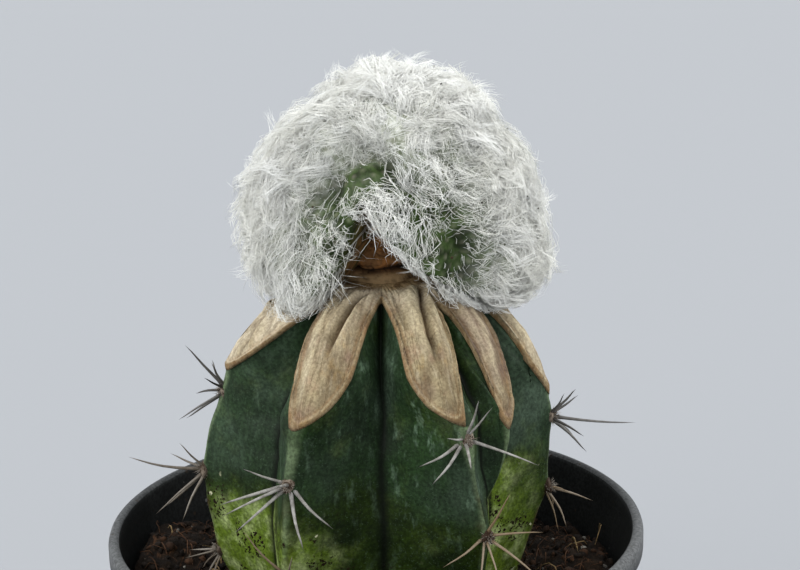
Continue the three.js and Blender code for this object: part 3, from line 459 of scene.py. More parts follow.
def turned(name, profile, sides, x=0.0):
    """A turned piece: a circle drawn up and outwards ring by ring along (radius, height) points."""
    select_none()
    radius, height = profile[0]
    bpy.ops.mesh.primitive_circle_add(
        vertices=sides, radius=radius * MM, fill_type="NGON", location=(x * MM, 0, height * MM))
    piece = bpy.context.object
    piece.name = piece.data.name = name
    bpy.ops.object.transform_apply(location=True, rotation=True, scale=True)
    bpy.ops.object.mode_set(mode="EDIT")
    bpy.ops.mesh.select_all(action="SELECT")
    bpy.ops.mesh.flip_normals()
    for (r0, z0), (r1, z1) in zip(profile, profile[1:]):
        bpy.ops.mesh.extrude_region_move(TRANSFORM_OT_translate={"value": (0, 0, (z1 - z0) * MM)})
        bpy.ops.transform.resize(value=(r1 / r0, r1 / r0, 1), center_override=(x * MM, 0, 0))
    bpy.ops.mesh.select_all(action="SELECT")
    bpy.ops.mesh.normals_make_consistent(inside=False)
    bpy.ops.object.mode_set(mode="OBJECT")
    bpy.ops.object.shade_smooth_by_angle(angle=SMOOTH_ANGLE)
    select_none()
    return piece


def joined(pieces, name):
    """One piece made of several."""
    select_none()
    for piece in pieces:
        piece.select_set(True)
    bpy.context.view_layer.objects.active = pieces[-1]
    bpy.ops.object.join()
    piece = bpy.context.object
    piece.name = piece.data.name = name
    select_none()
    return piece


def smooth_all(piece):
    piece.data.polygons.foreach_set("use_smooth", np.ones(len(piece.data.polygons), bool))


def points_of(piece):
    flat = np.empty(len(piece.data.vertices) * 3)
    piece.data.vertices.foreach_get("co", flat)
    return flat.reshape(-1, 3) / MM


def move_points(piece, points):
    piece.data.vertices.foreach_set("co", (points * MM).ravel())
    piece.data.update()


def distance_to(points, targets):
    """Distance from each point to the nearest of the targets."""
    tree = kdtree.KDTree(len(targets))
    for i, target in enumerate(targets):
        tree.insert(target, i)
    tree.balance()
    return np.array([tree.find(p)[2] for p in points.reshape(-1, 3)]).reshape(points.shape[:-1])


def finish_piece(piece, material, slot, *nodes):
    """Gives a piece its material, its place in the frame and the solids that it stands for."""
    piece.data.materials.clear()
    piece.data.materials.append(material)
    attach(piece, "root")
    if nodes:
        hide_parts(*nodes)


# Material helpers

def add_node(tree, kind, inputs=None, **options):
    """A node with its options set, and its inputs set or linked."""
    node = tree.nodes.new(kind)
    for key, value in options.items():
        setattr(node, key, value)
    for key, value in (inputs or {}).items():
        socket = node.inputs[key]
        if isinstance(value, bpy.types.NodeSocket):
            tree.links.new(value, socket)
        else:
            socket.default_value = value
    return node


def new_group(name, inputs, outputs):
    """An empty shader node group with named sockets, each given as (name, kind, default)."""
    group = bpy.data.node_groups.new(name, "ShaderNodeTree")
    for label, kind, value in inputs:
        socket = group.interface.new_socket(name=label, in_out="INPUT", socket_type=kind)
        if value is not None:
            socket.default_value = value
    for label, kind in outputs:
        group.interface.new_socket(name=label, in_out="OUTPUT", socket_type=kind)
    return group, group.nodes.new("NodeGroupInput").outputs, group.nodes.new("NodeGroupOutput").inputs


def mottle_group():
    """Cloudy change between two colours, with the cloud as a mask too."""
    group, given, out = new_group("Mottle", [
        ("Vector", "NodeSocketVector", None), ("Scale", "NodeSocketFloat", 100.0),
        ("Detail", "NodeSocketFloat", 4.0), ("Low", "NodeSocketFloat", 0.4), ("High", "NodeSocketFloat", 0.6),
        ("Dark", "NodeSocketColor", (0, 0, 0, 1)), ("Light", "NodeSocketColor", (1, 1, 1, 1)),
    ], [("Color", "NodeSocketColor"), ("Mask", "NodeSocketFloat")])
    cloud = add_node(group, "ShaderNodeTexNoise", {
        "Vector": given["Vector"], "Scale": given["Scale"], "Detail": given["Detail"], "Roughness": 0.6})
    mask = add_node(group, "ShaderNodeMapRange", {
        "Value": cloud.outputs["Fac"], "From Min": given["Low"], "From Max": given["High"]},
        interpolation_type="SMOOTHSTEP")
    blend = add_node(group, "ShaderNodeMix", {
        0: mask.outputs[0], 6: given["Dark"], 7: given["Light"]}, data_type="RGBA")
    group.links.new(blend.outputs[2], out["Color"])
    group.links.new(mask.outputs[0], out["Mask"])
    return group


def speck_group():
    """Scattered round specks as a mask: Share of the cells hold one, as wide as Size of a cell."""
    group, given, out = new_group("Specks", [
        ("Vector", "NodeSocketVector", None), ("Scale", "NodeSocketFloat", 500.0),
        ("Size", "NodeSocketFloat", 0.3), ("Share", "NodeSocketFloat", 0.3),
    ], [("Mask", "NodeSocketFloat")])
    warp = add_node(group, "ShaderNodeTexNoise", {"Vector": given["Vector"], "Scale": given["Scale"]})
    shift = add_node(group, "ShaderNodeVectorMath", {0: warp.outputs["Color"], 3: 0.0016}, operation="SCALE")
    place = add_node(group, "ShaderNodeVectorMath", {0: given["Vector"], 1: shift.outputs[0]}, operation="ADD")
    cells = add_node(group, "ShaderNodeTexVoronoi", {"Vector": place.outputs[0], "Scale": given["Scale"]})
    near = add_node(group, "ShaderNodeMath", {0: given["Size"], 1: cells.outputs["Distance"]},
                    operation="SUBTRACT")
    soft = add_node(group, "ShaderNodeMath", {0: near.outputs[0], 1: 12.0},
                    operation="MULTIPLY", use_clamp=True)
    parts = add_node(group, "ShaderNodeSeparateColor", {0: cells.outputs["Color"]})
    chosen = add_node(group, "ShaderNodeMath", {0: parts.outputs[0], 1: given["Share"]}, operation="LESS_THAN")
    mask = add_node(group, "ShaderNodeMath", {0: soft.outputs[0], 1: chosen.outputs[0]}, operation="MULTIPLY")
    group.links.new(mask.outputs[0], out["Mask"])
    return group


GROUPS = {}
GROUP_MAKERS = {"Mottle": mottle_group, "Specks": speck_group}


def rgb(colour, share=1.0):
    """A colour for a node, or a share of it."""
    return (*(Vector(tuple(colour)[:3]) * share), 1.0)


def grey(value):
    return value, value, value


class Finish:
    """A material under construction: its node tree, its shader and the place that patterns read."""

    def __init__(self, name, roughness=0.6, specular=0.5):
        self.material = bpy.data.materials.new(name)
        self.material.use_nodes = True
        self.tree = self.material.node_tree
        self.shader = self.tree.nodes["Principled BSDF"]
        self.shader.inputs["Roughness"].default_value = roughness
        self.shader.inputs["Specular IOR Level"].default_value = specular
        self.place = add_node(self.tree, "ShaderNodeTexCoord").outputs["Object"]

    def node(self, kind, inputs=None, **options):
        return add_node(self.tree, kind, inputs, **options)

    def group(self, name, vector, inputs):
        """A node that uses one of the shared groups, which are built once."""
        if name not in GROUPS:
            GROUPS[name] = GROUP_MAKERS[name]()
        return self.node("ShaderNodeGroup", {"Vector": self.where(vector), **inputs}, node_tree=GROUPS[name])

    def painted(self, name):
        return self.node("ShaderNodeAttribute", attribute_name=name).outputs["Fac"]

    def stretched(self, scale, vector=None):
        return self.node("ShaderNodeMapping", {"Vector": vector or self.place, "Scale": scale}).outputs[0]

    def where(self, vector):
        """The vector that a pattern reads: a socket, or the place on the piece, stretched by three numbers."""
        return self.stretched(vector) if isinstance(vector, tuple) else vector or self.place

    def mottle(self, scale, dark, light, low, high, detail=4.0, vector=None):
        """A cloudy change between two colours."""
        return self.group("Mottle", vector, {
            "Scale": scale, "Low": low, "High": high, "Detail": detail,
            "Dark": rgb(dark), "Light": rgb(light)}).outputs["Color"]

    def patches(self, scale, low, high, detail, vector=None):
        """Cloudy patches, as a mask."""
        return self.group("Mottle", vector, {
            "Scale": scale, "Low": low, "High": high, "Detail": detail}).outputs["Mask"]

    def specks(self, scale, size, share):
        return self.group("Specks", None, {"Scale": scale, "Size": size, "Share": share}).outputs["Mask"]

    def cloud(self, scale, detail=4.0, vector=None):
        return self.node("ShaderNodeTexNoise", {
            "Vector": self.where(vector), "Scale": scale, "Detail": detail, "Roughness": 0.6}).outputs["Fac"]

    def blend(self, share, first, second, kind="MIX"):
        return self.node("ShaderNodeMix", {0: share, 6: first, 7: second},
                         data_type="RGBA", blend_type=kind).outputs[2]

    def maths(self, kind, first, second=0.5, clamp=False):
        return self.node("ShaderNodeMath", {0: first, 1: second}, operation=kind, use_clamp=clamp).outputs[0]

    def ramped(self, value, low, high, to_low=0.0, to_high=1.0):
        return self.node("ShaderNodeMapRange", {
            "Value": value, "From Min": low, "From Max": high, "To Min": to_low, "To Max": to_high},
            interpolation_type="SMOOTHSTEP").outputs[0]

    def laid(self, under, *layers):
        """Colours laid one over the other, each as (mask or name of a painted value, share, colour)."""
        for mask, share, colour in layers:
            mask = self.painted(mask) if isinstance(mask, str) else mask
            mask = mask if share == 1 else self.maths("MULTIPLY", mask, share)
            colour = colour if isinstance(colour, bpy.types.NodeSocket) else rgb(colour)
            under = self.blend(mask, under, colour)
        return under

    def shaded(self, colour, *mottle):
        """A colour darkened and lightened by a cloudy change."""
        return self.blend(1.0, colour, self.mottle(*mottle), "MULTIPLY")

    def colour(self, socket):
        self.tree.links.new(socket, self.shader.inputs["Base Color"])

    def roughness(self, socket):
        self.tree.links.new(socket, self.shader.inputs["Roughness"])

    def relief(self, *heights):
        """Bumps from (height socket, millimetres) pairs, one over the other."""
        normal = None
        for height, depth in heights:
            bump = self.node("ShaderNodeBump", {"Height": height, "Distance": depth * MM, "Strength": 1.0})
            if normal:
                self.tree.links.new(normal, bump.inputs["Normal"])
            normal = bump.outputs[0]
        self.tree.links.new(normal, self.shader.inputs["Normal"])


# Settings

def colour_setting(name, description, default):
    return bpy.props.FloatVectorProperty(
        name=name, description=description, subtype="COLOR", size=3, min=0.0, max=1.0, default=default)


class CactusPotSettings(bpy.types.PropertyGroup):
    """Sizes and colours of the pot and its soil."""

    rim: bpy.props.FloatProperty(
        name="Rim radius", description="Radius of the pot's rim", default=POT["rim"] * MM, unit="LENGTH")
    plastic: colour_setting("Plastic", "Colour of the pot's plastic", (0.026, 0.0275, 0.0275))
    dust: colour_setting("Dust", "Colour of the dust on the plastic", (0.07, 0.072, 0.072))
    peat: colour_setting("Peat", "Colour of damp peat", (0.0070, 0.0042, 0.0024))
    bark: colour_setting("Bark", "Colour of bark and fibre in the soil", (0.075, 0.036, 0.018))


class CactusStemSettings(bpy.types.PropertyGroup):
    """Colours and relief of the rootstock and its cut skin."""

    flesh: colour_setting("Flesh", "Dark green of the ribs", (0.0062, 0.0158, 0.0036))
    bloom: colour_setting("Bloom", "Waxy bloom on the ribs", (0.046, 0.070, 0.046))
    young: colour_setting("Young", "Yellow green near the soil", (0.085, 0.130, 0.014))
    callus: colour_setting("Callus", "Tan of the dried skin", (0.250, 0.205, 0.122))
    edge: colour_setting("Edge", "Orange brown at the skin's edge", (0.185, 0.105, 0.045))
    horn: colour_setting("Horn", "Grey of the spines", (0.27, 0.26, 0.24))
    fold_depth: bpy.props.FloatProperty(
        name="Fold depth", description="Depth of the skin's folds as a share of the fitted one",
        default=1.0, min=0.0, max=1.2, subtype="FACTOR")


class CactusWoolSettings(bpy.types.PropertyGroup):
    """Amount, size and colour of the hair."""

    tufts: bpy.props.IntProperty(
        name="Tufts", description="Tufts of hair over the whole crest", default=1250, min=100, max=2500)
    hairs: bpy.props.IntProperty(
        name="Hairs", description="Hairs in each tuft", default=38, min=4, max=60)
    length: bpy.props.FloatProperty(
        name="Length", description="Length of a hair", default=7.4 * MM, unit="LENGTH")
    width: bpy.props.FloatProperty(
        name="Width", description="Width of a hair at its root", default=0.08 * MM, unit="LENGTH")
    white: colour_setting("White", "Colour of the hair", (0.915, 0.92, 0.895))
    flesh: colour_setting("Flesh", "Green of the fan under the hair", (0.055, 0.095, 0.024))
    seed: bpy.props.IntProperty(name="Seed", description="Changes the fall of the hair", default=5)


class CactusStageSettings(bpy.types.PropertyGroup):
    """Floor and light."""

    floor: colour_setting("Floor", "Colour of the floor", (0.303, 0.313, 0.327))
    key: bpy.props.FloatProperty(
        name="Key light", description="Strength of the soft light from the left", default=2.6, min=0.0)
    fill: bpy.props.FloatProperty(
        name="Fill", description="Strength of the light from all round", default=1.0, min=0.0)


# Pot

def pot_wall(z):
    return mix(POT["foot"], POT["rim"] - POT["step"], z / (POT["height"] - POT["band"]))


def pot_profile():
    """Radius and height round the pot's section, from the floor's underside over the rim to the inside."""
    rim, top, wall, foot, edge = POT["rim"], POT["height"], POT["wall"], POT["foot"], FLOOR["edge"]
    low, lip = top - POT["band"], rim - POT["lip"]
    outside = [(0.6, FLOOR["bottom"]), (edge, FLOOR["bottom"]), (edge + 0.5, FLOOR["bottom"] - 0.1),
               (edge + 0.9, 0.4), (edge + 1.2, 0.0), (foot - 0.9, 0.0), (foot - 0.3, 0.25),
               (pot_wall(0.9), 0.9)]
    outside += [(pot_wall(z), z) for z in np.linspace(1.6, low - 0.6, 24)]
    outside += [(pot_wall(low), low - 0.25), (rim - 0.75, low), (rim - 0.35, low + 0.12),
                (rim - 0.05, low + 0.6)]
    outside += [(rim, z) for z in (low + 1.2, low + 2.4, top - 0.9)]
    over = [(rim - 0.18, top - 0.32), (rim - 0.5, top - 0.06), (rim - 0.9, top), (lip + 0.5, top - 0.04),
            (lip + 0.14, top - 0.3), (lip, top - 0.9)]
    inside = [(mix(lip, pot_wall(low) - wall, s), mix(top - 0.9, low - 0.8, s)) for s in (0.35, 0.7, 1.0)]
    inside += [(pot_wall(z) - wall, z) for z in np.linspace(low - 2, FLOOR["top"] + 0.5, 20)]
    inside += [(pot_wall(FLOOR["top"]) - wall - 0.4, FLOOR["top"]), (edge + 1.4, FLOOR["ring"] + 0.4),
               (edge + 0.5, FLOOR["top"]), (0.6, FLOOR["top"])]
    return outside + over + inside


def plastic_finish(settings):
    finish = Finish("pot_plastic", roughness=0.55, specular=0.08)
    dust = finish.patches(150, 0.48, 0.78, 8.0, (1, 1, 0.5))
    spotted = finish.laid(
        finish.mottle(60, settings.plastic, rgb(settings.plastic, 1.5), 0.35, 0.7),
        (dust, 0.55, settings.dust),
        # The inside of the pot is darkened here as painted shade
        ("inside", 0.8, (0.007, 0.0075, 0.0075)),
        # The rim is paler with wear, and darker towards the back as painted shade
        (finish.ramped(finish.painted("rim"), 0.0, 1.0), 0.85, rgb(settings.dust, 1.5)),
        (finish.specks(900, 0.3, 0.06), 0.7, (0.03, 0.02, 0.013)),
        (finish.specks(620, 0.2, 0.05), 0.5, (0.2, 0.2, 0.19)))
    finish.colour(finish.shaded(spotted, 1900, grey(0.62), grey(1.3), 0.36, 0.64, 5.0))
    finish.roughness(finish.ramped(dust, 0.0, 1.0, 0.46, 0.72))
    finish.relief((finish.cloud(2600, 2.0), 0.02), (finish.cloud(500, 6.0, (1, 1, 6)), 0.03))
    return finish.material


class CACTUS_OT_pot(bpy.types.Operator):
    """Builds the pot: a thin turned wall with a rim band, a foot ring and drainage holes"""

    bl_idname = "cactus.pot"
    bl_label = "Nursery pot"

    def execute(self, context):
        settings = context.scene.cactus_pot
        size = settings.rim / MM / POT["rim"]
        pot = turned("nursery_pot", [(r * size, z) for r, z in pot_profile()], POT["sides"])
        cutter = self.cutter()
        context.view_layer.objects.active = pot
        pot.select_set(True)
        drains = pot.modifiers.new("Drains", "BOOLEAN")
        drains.operation = "DIFFERENCE"
        drains.object = cutter
        bpy.ops.object.modifier_apply(modifier=drains.name)
        bpy.data.objects.remove(cutter)
        bpy.ops.object.shade_smooth_by_angle(angle=SMOOTH_ANGLE)
        x, y, z = points_of(pot).T
        r = np.hypot(x, y)
        # The rim's wear, fading towards the back as painted shade
        worn_and_lit = mix(WEAR_AND_LIGHT["back"], WEAR_AND_LIGHT["front"], ramp(-y, *WEAR_AND_LIGHT["y"])) * ramp(z, *WEAR_AND_LIGHT["z"])
        paint(pot, "rim", worn_and_lit * ramp(r, POT["rim"] - 2.0, POT["rim"] - 1.2))
        # Where the pot is within its wall, for the painted shade of its inside
        paint(pot, "inside", (r < pot_wall(z) - 0.3) * (z < POT["height"] - 0.8) * (z > FLOOR["top"]))
        finish_piece(pot, plastic_finish(settings), "pot_plastic", "pot")
        return {"FINISHED"}

    def cutter(self):
        """The drainage holes: a ring of short cylinders and one in the middle."""
        places = [(DRAIN["ring"], DRAIN["radius"], TURN * i / DRAIN["count"]) for i in range(DRAIN["count"])]
        cylinders = []
        for reach, radius, turn in [*places, (0.0, DRAIN["centre"], 0.0)]:
            bpy.ops.mesh.primitive_cylinder_add(
                vertices=24, radius=radius * MM, depth=8 * MM,
                location=(reach * math.sin(turn) * MM, reach * math.cos(turn) * MM, 2 * MM))
            cylinders.append(bpy.context.object)
        return joined(cylinders, "drains")


# Soil

def soil_height(x, y):
    """Height of the soil's top over its mean: the solid's broad lumps."""
    return SOIL["lump"] * (0.55 * np.sin(0.21 * x + 1.3) * np.cos(0.17 * y - 0.4)
                           + 0.3 * np.sin(0.47 * x - 0.39 * y) + 0.2 * np.cos(0.83 * y + 0.31 * x))


def soil_top(points):
    """The soil's top with its crumbs, at the x and y of points."""
    flat = points * [1, 1, 0]
    crumbs = 0.8 * np.abs(noise(flat, 2.4, 3, 2)) + 0.6 * np.abs(noise(flat, 1.1, 9, 2))
    heap = 0.0
    for x, y, wide, deep, high in HEAPS:
        heap = heap + high * np.exp(-((flat[..., 0] - x) / wide) ** 2 - ((flat[..., 1] - y) / deep) ** 2)
    return SOIL["level"] + soil_height(flat[..., 0], flat[..., 1]) + crumbs + heap - 0.45


def peat_finish(settings):
    finish = Finish("peat", roughness=0.9, specular=0.15)
    fibre = finish.ramped(finish.cloud(900, 5.0, (1.0, 0.3, 1.0)), 0.56, 0.72)
    finish.colour(finish.laid(
        finish.mottle(420, settings.peat, rgb(settings.peat, 3.2), 0.42, 0.66, 8.0),
        (fibre, 1, settings.bark),
        (finish.specks(1100, 0.26, 0.08), 0.5, (0.22, 0.19, 0.15))))
    finish.relief((finish.cloud(700, 8.0), 0.5), (finish.cloud(2200, 4.0), 0.15))
    return finish.material


def litter_finish(settings, name, colour, share):
    """What lies on the soil, each bit in a shade of its own."""
    finish = Finish(name, roughness=0.85, specular=0.2)
    colour = rgb(getattr(settings, colour) if isinstance(colour, str) else colour, share)
    tinted = finish.blend(finish.painted("tint"), rgb(colour, 0.35), colour)
    finish.colour(finish.shaded(tinted, 700, grey(0.45), grey(1), 0.35, 0.65, 6.0))
    finish.relief((finish.cloud(1500, 4.0), 0.12))
    return finish.material


def scattered(rng, count, nearest, furthest):
    """Places over the soil between two distances from the middle."""
    turn = rng.uniform(0, TURN, count)
    r = np.sqrt(rng.uniform(nearest ** 2, furthest ** 2, count))
    return np.stack([r * np.cos(turn), r * np.sin(turn), np.zeros(count)], axis=-1)


class CACTUS_OT_soil(bpy.types.Operator):
    """Builds the soil with its crumbs, bits of bark and dry strands"""

    bl_idname = "cactus.soil"
    bl_label = "Potting soil"

    def execute(self, context):
        settings = context.scene.cactus_pot

        def wall(z):
            return pot_wall(z) - POT["wall"] - SOIL["gap"]

        edge = wall(SOIL["level"]) - 0.05
        profile = [(SOIL["inner"], SOIL["floor"]), (wall(SOIL["floor"]) - 0.2, SOIL["floor"])]
        profile += [(wall(z), z) for z in (20, 40, SOIL["level"] - 2.4)]
        profile += [(r, SOIL["level"]) for r in np.arange(edge, SOIL["inner"], -SOIL["step"])]
        soil = turned("potting_soil", profile, SOIL["sides"])
        p = points_of(soil)
        top = p[:, 2] > SOIL["level"] - 0.1
        p[top, 2] = soil_top(p[top]) - 1.2 * ramp(np.hypot(p[top, 0], p[top, 1]), edge - 1.0, edge)
        p[top, :2] += 0.15 * noise_vectors(p[top], 1.1, 40)[:, :2]
        move_points(soil, p)
        smooth_all(soil)
        finish_piece(soil, peat_finish(settings), "potting_soil", "soil")
        self.crumbs(settings, np.random.default_rng(21))
        self.strands(settings, np.random.default_rng(22))
        return {"FINISHED"}

    def crumbs(self, settings, rng):
        """Crumbs of peat and bark: one lumpy ball, copied, stretched and turned."""
        select_none()
        bpy.ops.mesh.primitive_uv_sphere_add(segments=6, ring_count=4, radius=MM)
        ball = bpy.context.object
        shape = points_of(ball)
        sizes = np.array([len(f.vertices) for f in ball.data.polygons])
        corners = np.concatenate([f.vertices[:] for f in ball.data.polygons])
        bpy.data.objects.remove(ball)
        for name, count, size, colour, share in CRUMBS:
            place = scattered(rng, count, LITTER["nearest"], LITTER["furthest"])
            place[:, 2] = soil_top(place)
            scale = rng.uniform(size[0], size[1], (count, 1)) * rng.uniform(0.55, 1.25, (count, 3))
            scale[:, 2] *= 0.8
            turn = np.array([np.array(Matrix.Rotation(a, 3, "Z") @ Matrix.Rotation(b, 3, "X"))
                             for a, b in rng.uniform(-1.5, 1.5, (count, 2))])
            own_place = shape[None] + 9.0 * rng.uniform(0, 9, (count, 1, 3))
            lumps = shape[None] * (1 + 0.3 * noise(own_place, 0.8))[..., None]
            points = np.einsum("nij,nkj->nki", turn, lumps * scale[:, None]) + place[:, None]
            loops = (corners[None] + len(shape) * np.arange(count)[:, None]).ravel()
            bits = piece_from(name, points.reshape(-1, 3), loops, np.tile(sizes, count))
            paint(bits, "tint", np.repeat(rng.uniform(0, 1, count), len(shape)))
            finish_piece(bits, litter_finish(settings, name, colour, share), "potting_soil")

    def strands(self, settings, rng):
        """Fine reddish fibres and a few straw-coloured ones, that bend over the soil."""
        rings, sides = 6, 5
        steps = np.linspace(0, 1, rings)
        for name, count, length, radius, colour, share in FIBRES:
            root = scattered(rng, count, LITTER["nearest"] + 0.5, LITTER["furthest"] - 1.0)
            way = rng.uniform(0, TURN, (count, 1))
            reach = rng.uniform(*length, (count, 1))
            angle = way + rng.uniform(-0.6, 0.6, (count, 1)) * steps
            path = np.zeros((count, rings, 3))
            path[..., 0] = root[:, :1] + np.cumsum(np.cos(angle), axis=1) * reach / rings
            path[..., 1] = root[:, 1:2] + np.cumsum(np.sin(angle), axis=1) * reach / rings
            far = np.hypot(path[..., 0], path[..., 1])
            path[..., :2] *= (np.minimum(far, LITTER["furthest"]) / far)[..., None]
            lift = rng.uniform(0.0, 0.35, (count, 1)) * reach * np.sin(math.pi * steps)
            path[..., 2] = soil_top(path) + 0.15 + lift + rng.uniform(-0.1, 0.5, (count, 1))
            path[:, 0, 2] -= 0.8
            radii = rng.uniform(*radius, (count, 1)) * np.linspace(1.0, 0.45, rings)
            piece, each = strands(name, path, radii, sides)
            paint(piece, "tint", np.repeat(rng.uniform(0.2, 1, count), each))
            finish_piece(piece, litter_finish(settings, name, colour, share), "potting_soil")


# Rootstock's form

def axis_x(z):
    return STEM["axis"] + STEM["lean"] * (z - STEM["lean_from"])


def rib_azimuth(rib, z):
    return np.radians(column(rib["line"], 1, z))


def rib_crest(rib, z):
    return column(CREST_LINE, 1, z) - rib["shoulder"] * ramp(z, 84, 97) - rib["base"] * (1 - ramp(z, 66, 90))


def stem_point(azimuth, z, r):
    return np.stack([axis_x(z) + r * np.sin(azimuth), -r * np.cos(azimuth), z + 0 * r], axis=-1)


def about_axis(points):
    """Distance and azimuth of points about the rootstock's leaning axis."""
    x, y = points[..., 0] - axis_x(points[..., 2]), points[..., 1]
    return np.hypot(x, y), np.arctan2(x, -y)


def turned_off(azimuth, other):
    """The smaller angle from one direction to another, with its sign."""
    return np.arctan2(np.sin(azimuth - other), np.cos(azimuth - other))


class Reach:
    """How far the uncut rootstock reaches, by azimuth and height, with softly rounded crests."""

    step = 0.5
    around = 1440
    softness = 1.1

    def __init__(self):
        self.heights = np.arange(STEM["low"], STEM["high"] + 0.1, self.step)
        z, azimuth = np.meshgrid(self.heights, np.arange(self.around) * TURN / self.around, indexing="ij")
        half, blunt, sharp = (column(FLANKS, i, z) for i in (1, 2, 3))
        reach = np.where(z > STEM["core_from"], STEM["core"], 0.0)
        for rib in RIBS:
            signed = turned_off(azimuth, rib_azimuth(rib, z))
            off = np.abs(signed)
            near = off < STEM["widest"]
            flank = mix(1.0, np.where(signed < 0, *rib["flanks"]), ramp(z, 86, 94))
            own = self.rib(rib_crest(rib, z[near]), (half * flank)[near] * rib["width"], blunt[near],
                           sharp[near], off[near])
            reach[near] = np.maximum(reach[near], own)
        spread = np.radians(self.softness)
        wave = np.fft.rfftfreq(self.around, 1 / self.around)
        soften = np.exp(-0.5 * (wave * spread) ** 2)
        self.table = np.fft.irfft(np.fft.rfft(reach, axis=1) * soften, n=self.around, axis=1)

    @staticmethod
    def rib(crest, half, blunt, sharp, off):
        low = np.zeros_like(crest)
        high = crest / np.cos(off)
        for _ in range(18):
            r = (low + high) / 2
            share = np.minimum(r * np.cos(off) / crest, 1)
            outside = r * np.sin(off) > half * (1 - share ** blunt) ** sharp
            high = np.where(outside, r, high)
            low = np.where(outside, low, r)
        return low

    def __call__(self, azimuth, z):
        azimuth, z = np.broadcast_arrays(azimuth, z)
        column_at = (azimuth % TURN) / TURN * self.around
        row_at = np.clip((z - STEM["low"]) / self.step, 0, len(self.heights) - 1.001)
        c, r = np.floor(column_at).astype(int), np.floor(row_at).astype(int)
        s, t = column_at - c, row_at - r
        c0, c1 = c % self.around, (c + 1) % self.around
        low = mix(self.table[r, c0], self.table[r, c1], s)
        high = mix(self.table[r + 1, c0], self.table[r + 1, c1], s)
        return mix(low, high, t)


class Form:
    """The cut rootstock's form: the columns of points that climb it and the layers of its cut."""

    def __init__(self):
        self.reach = Reach()
        self.tips = [(float(rib_azimuth(rib, rib["tip"])), rib["tip"], float(rib_crest(rib, rib["tip"])))
                     for rib in RIBS]
        self.gaps = [self.gap(i) for i in range(len(RIBS))]
        self.columns()

    def tip_at(self, azimuth):
        """Height and radius where the cut would end, eased between the tips on either side."""
        turns = np.array([t[0] for t in self.tips] + [self.tips[0][0] + TURN])
        around = self.tips[0][0] + (azimuth - self.tips[0][0]) % TURN
        i = np.clip(np.searchsorted(turns, around, side="right") - 1, 0, len(RIBS) - 1)
        share = ramp(around, turns[i], turns[i + 1])
        z, r = (np.array([tip[k] for tip in [*self.tips, self.tips[0]]]) for k in (1, 2))
        return mix(z[i], z[i + 1], share), mix(r[i], r[i + 1], share)

    def cut(self, azimuth, share, layer):
        """Radius and height on a layer of the cut, at a share of the way from the collar to the tips."""
        tip_z, tip_r = self.tip_at(azimuth)
        outer = np.maximum(share, 0.0)
        straight, power = DOME["straight"], DOME["power"]
        fall = straight * outer + (1 - straight) * outer ** power
        steep = straight + (1 - straight) * power * np.maximum(outer, 1e-6) ** (power - 1)
        steep = np.where(outer > 0, steep, 0.0)
        slope = steep * (COLLAR["height"] - tip_z) / (tip_r - COLLAR["radius"])
        offset = layer[0] * (1 - SKIN["thinning"] * outer ** 2) + layer[1]
        size = np.hypot(1, slope)
        return (mix(COLLAR["radius"], tip_r, share) + offset * slope / size,
                mix(COLLAR["height"], tip_z, fall) + offset / size)

    def corner_share(self, azimuth, layer):
        """The share at which a layer of the cut first meets the flank."""
        steps = np.linspace(0, DOME["furthest"], 70)
        within = []
        for share in steps:
            r, z = self.cut(azimuth, np.full_like(azimuth, share), layer)
            within.append(self.reach(azimuth, z) > r)
        first = np.clip(np.argmin(within, axis=0), 1, len(steps) - 1)
        low, high = steps[first - 1], steps[first]
        for _ in range(16):
            share = (low + high) / 2
            r, z = self.cut(azimuth, share, layer)
            inside = self.reach(azimuth, z) > r
            low = np.where(inside, share, low)
            high = np.where(inside, high, share)
        return low

    def corner_radius(self, azimuth):
        return self.cut(azimuth, self.corner_share(azimuth, (0, 0)), (0, 0))[0]

    def gap(self, i):
        """The groove after a rib: its azimuth at the cut and at each low height."""
        wrap = TURN if i + 1 == len(RIBS) else 0.0
        this, after = RIBS[i], RIBS[(i + 1) % len(RIBS)]
        line = []
        for z in HEIGHTS:
            turns = np.linspace(rib_azimuth(this, z), rib_azimuth(after, z) + wrap, 200)[1:-1]
            reach = self.reach(turns, z)
            line.append(turns[reach < reach.min() + 0.1].mean())
        turns = np.linspace(self.tips[i][0], self.tips[(i + 1) % len(RIBS)][0] + wrap, 200)[1:-1]
        return turns[np.argmin(self.corner_radius(turns))], np.array(line)

    def columns(self):
        """For every column: its azimuth at the cut, rib and groove, and its share of the way between them."""
        parts = []
        for i in range(len(RIBS)):
            before = (i - 1) % len(RIBS)
            tip = self.tips[i][0]
            for gap, shift, side in ((before, TURN if i == 0 else 0.0, -1), (i, 0.0, 1)):
                turns = np.linspace(tip, self.gaps[gap][0] - shift, 500)
                r, z = self.cut(turns, self.corner_share(turns, (0, 0)), (0, 0))
                line = stem_point(turns, z, r)
                pace = np.linalg.norm(np.diff(line, axis=0), axis=1) + 40 * np.abs(np.diff(turns))
                walked = np.concatenate([[0], np.cumsum(pace)])
                even = np.linspace(0, walked[-1], COLUMNS_A_SIDE + 1)
                chosen, reached = np.interp(even, walked, turns), np.interp(even, walked, r)
                level = np.clip((reached - reached[-1]) / (reached[0] - reached[-1]), 0, 1)
                share = column(COLUMN_LEVELS, 1, level)
                order = slice(COLUMNS_A_SIDE - 1, 0, -1) if side < 0 else slice(0, COLUMNS_A_SIDE + 1)
                size = len(chosen[order])
                parts.append((chosen[order], reached[order], share[order],
                              np.full(size, i), np.full(size, gap), np.full(size, shift)))
        self.top, reached, self.share, self.rib, self.gap_of, self.shift = map(np.concatenate, zip(*parts))
        self.tip_azimuth = np.array([tip[0] for tip in self.tips])[self.rib]
        tip_r = self.tip_at(self.top)[1]
        self.edge = (reached - COLLAR["radius"]) / (tip_r - COLLAR["radius"])
        self.corner_z = self.cut(self.top, self.edge, (0, 0))[1]
        self.moved = self.top - self.followed(self.corner_z)

    def corner(self, layer):
        """The share at which a layer of the cut ends in each column."""
        return np.clip(self.corner_share(self.top, layer), self.edge - EDGE_SLACK, self.edge + EDGE_SLACK)

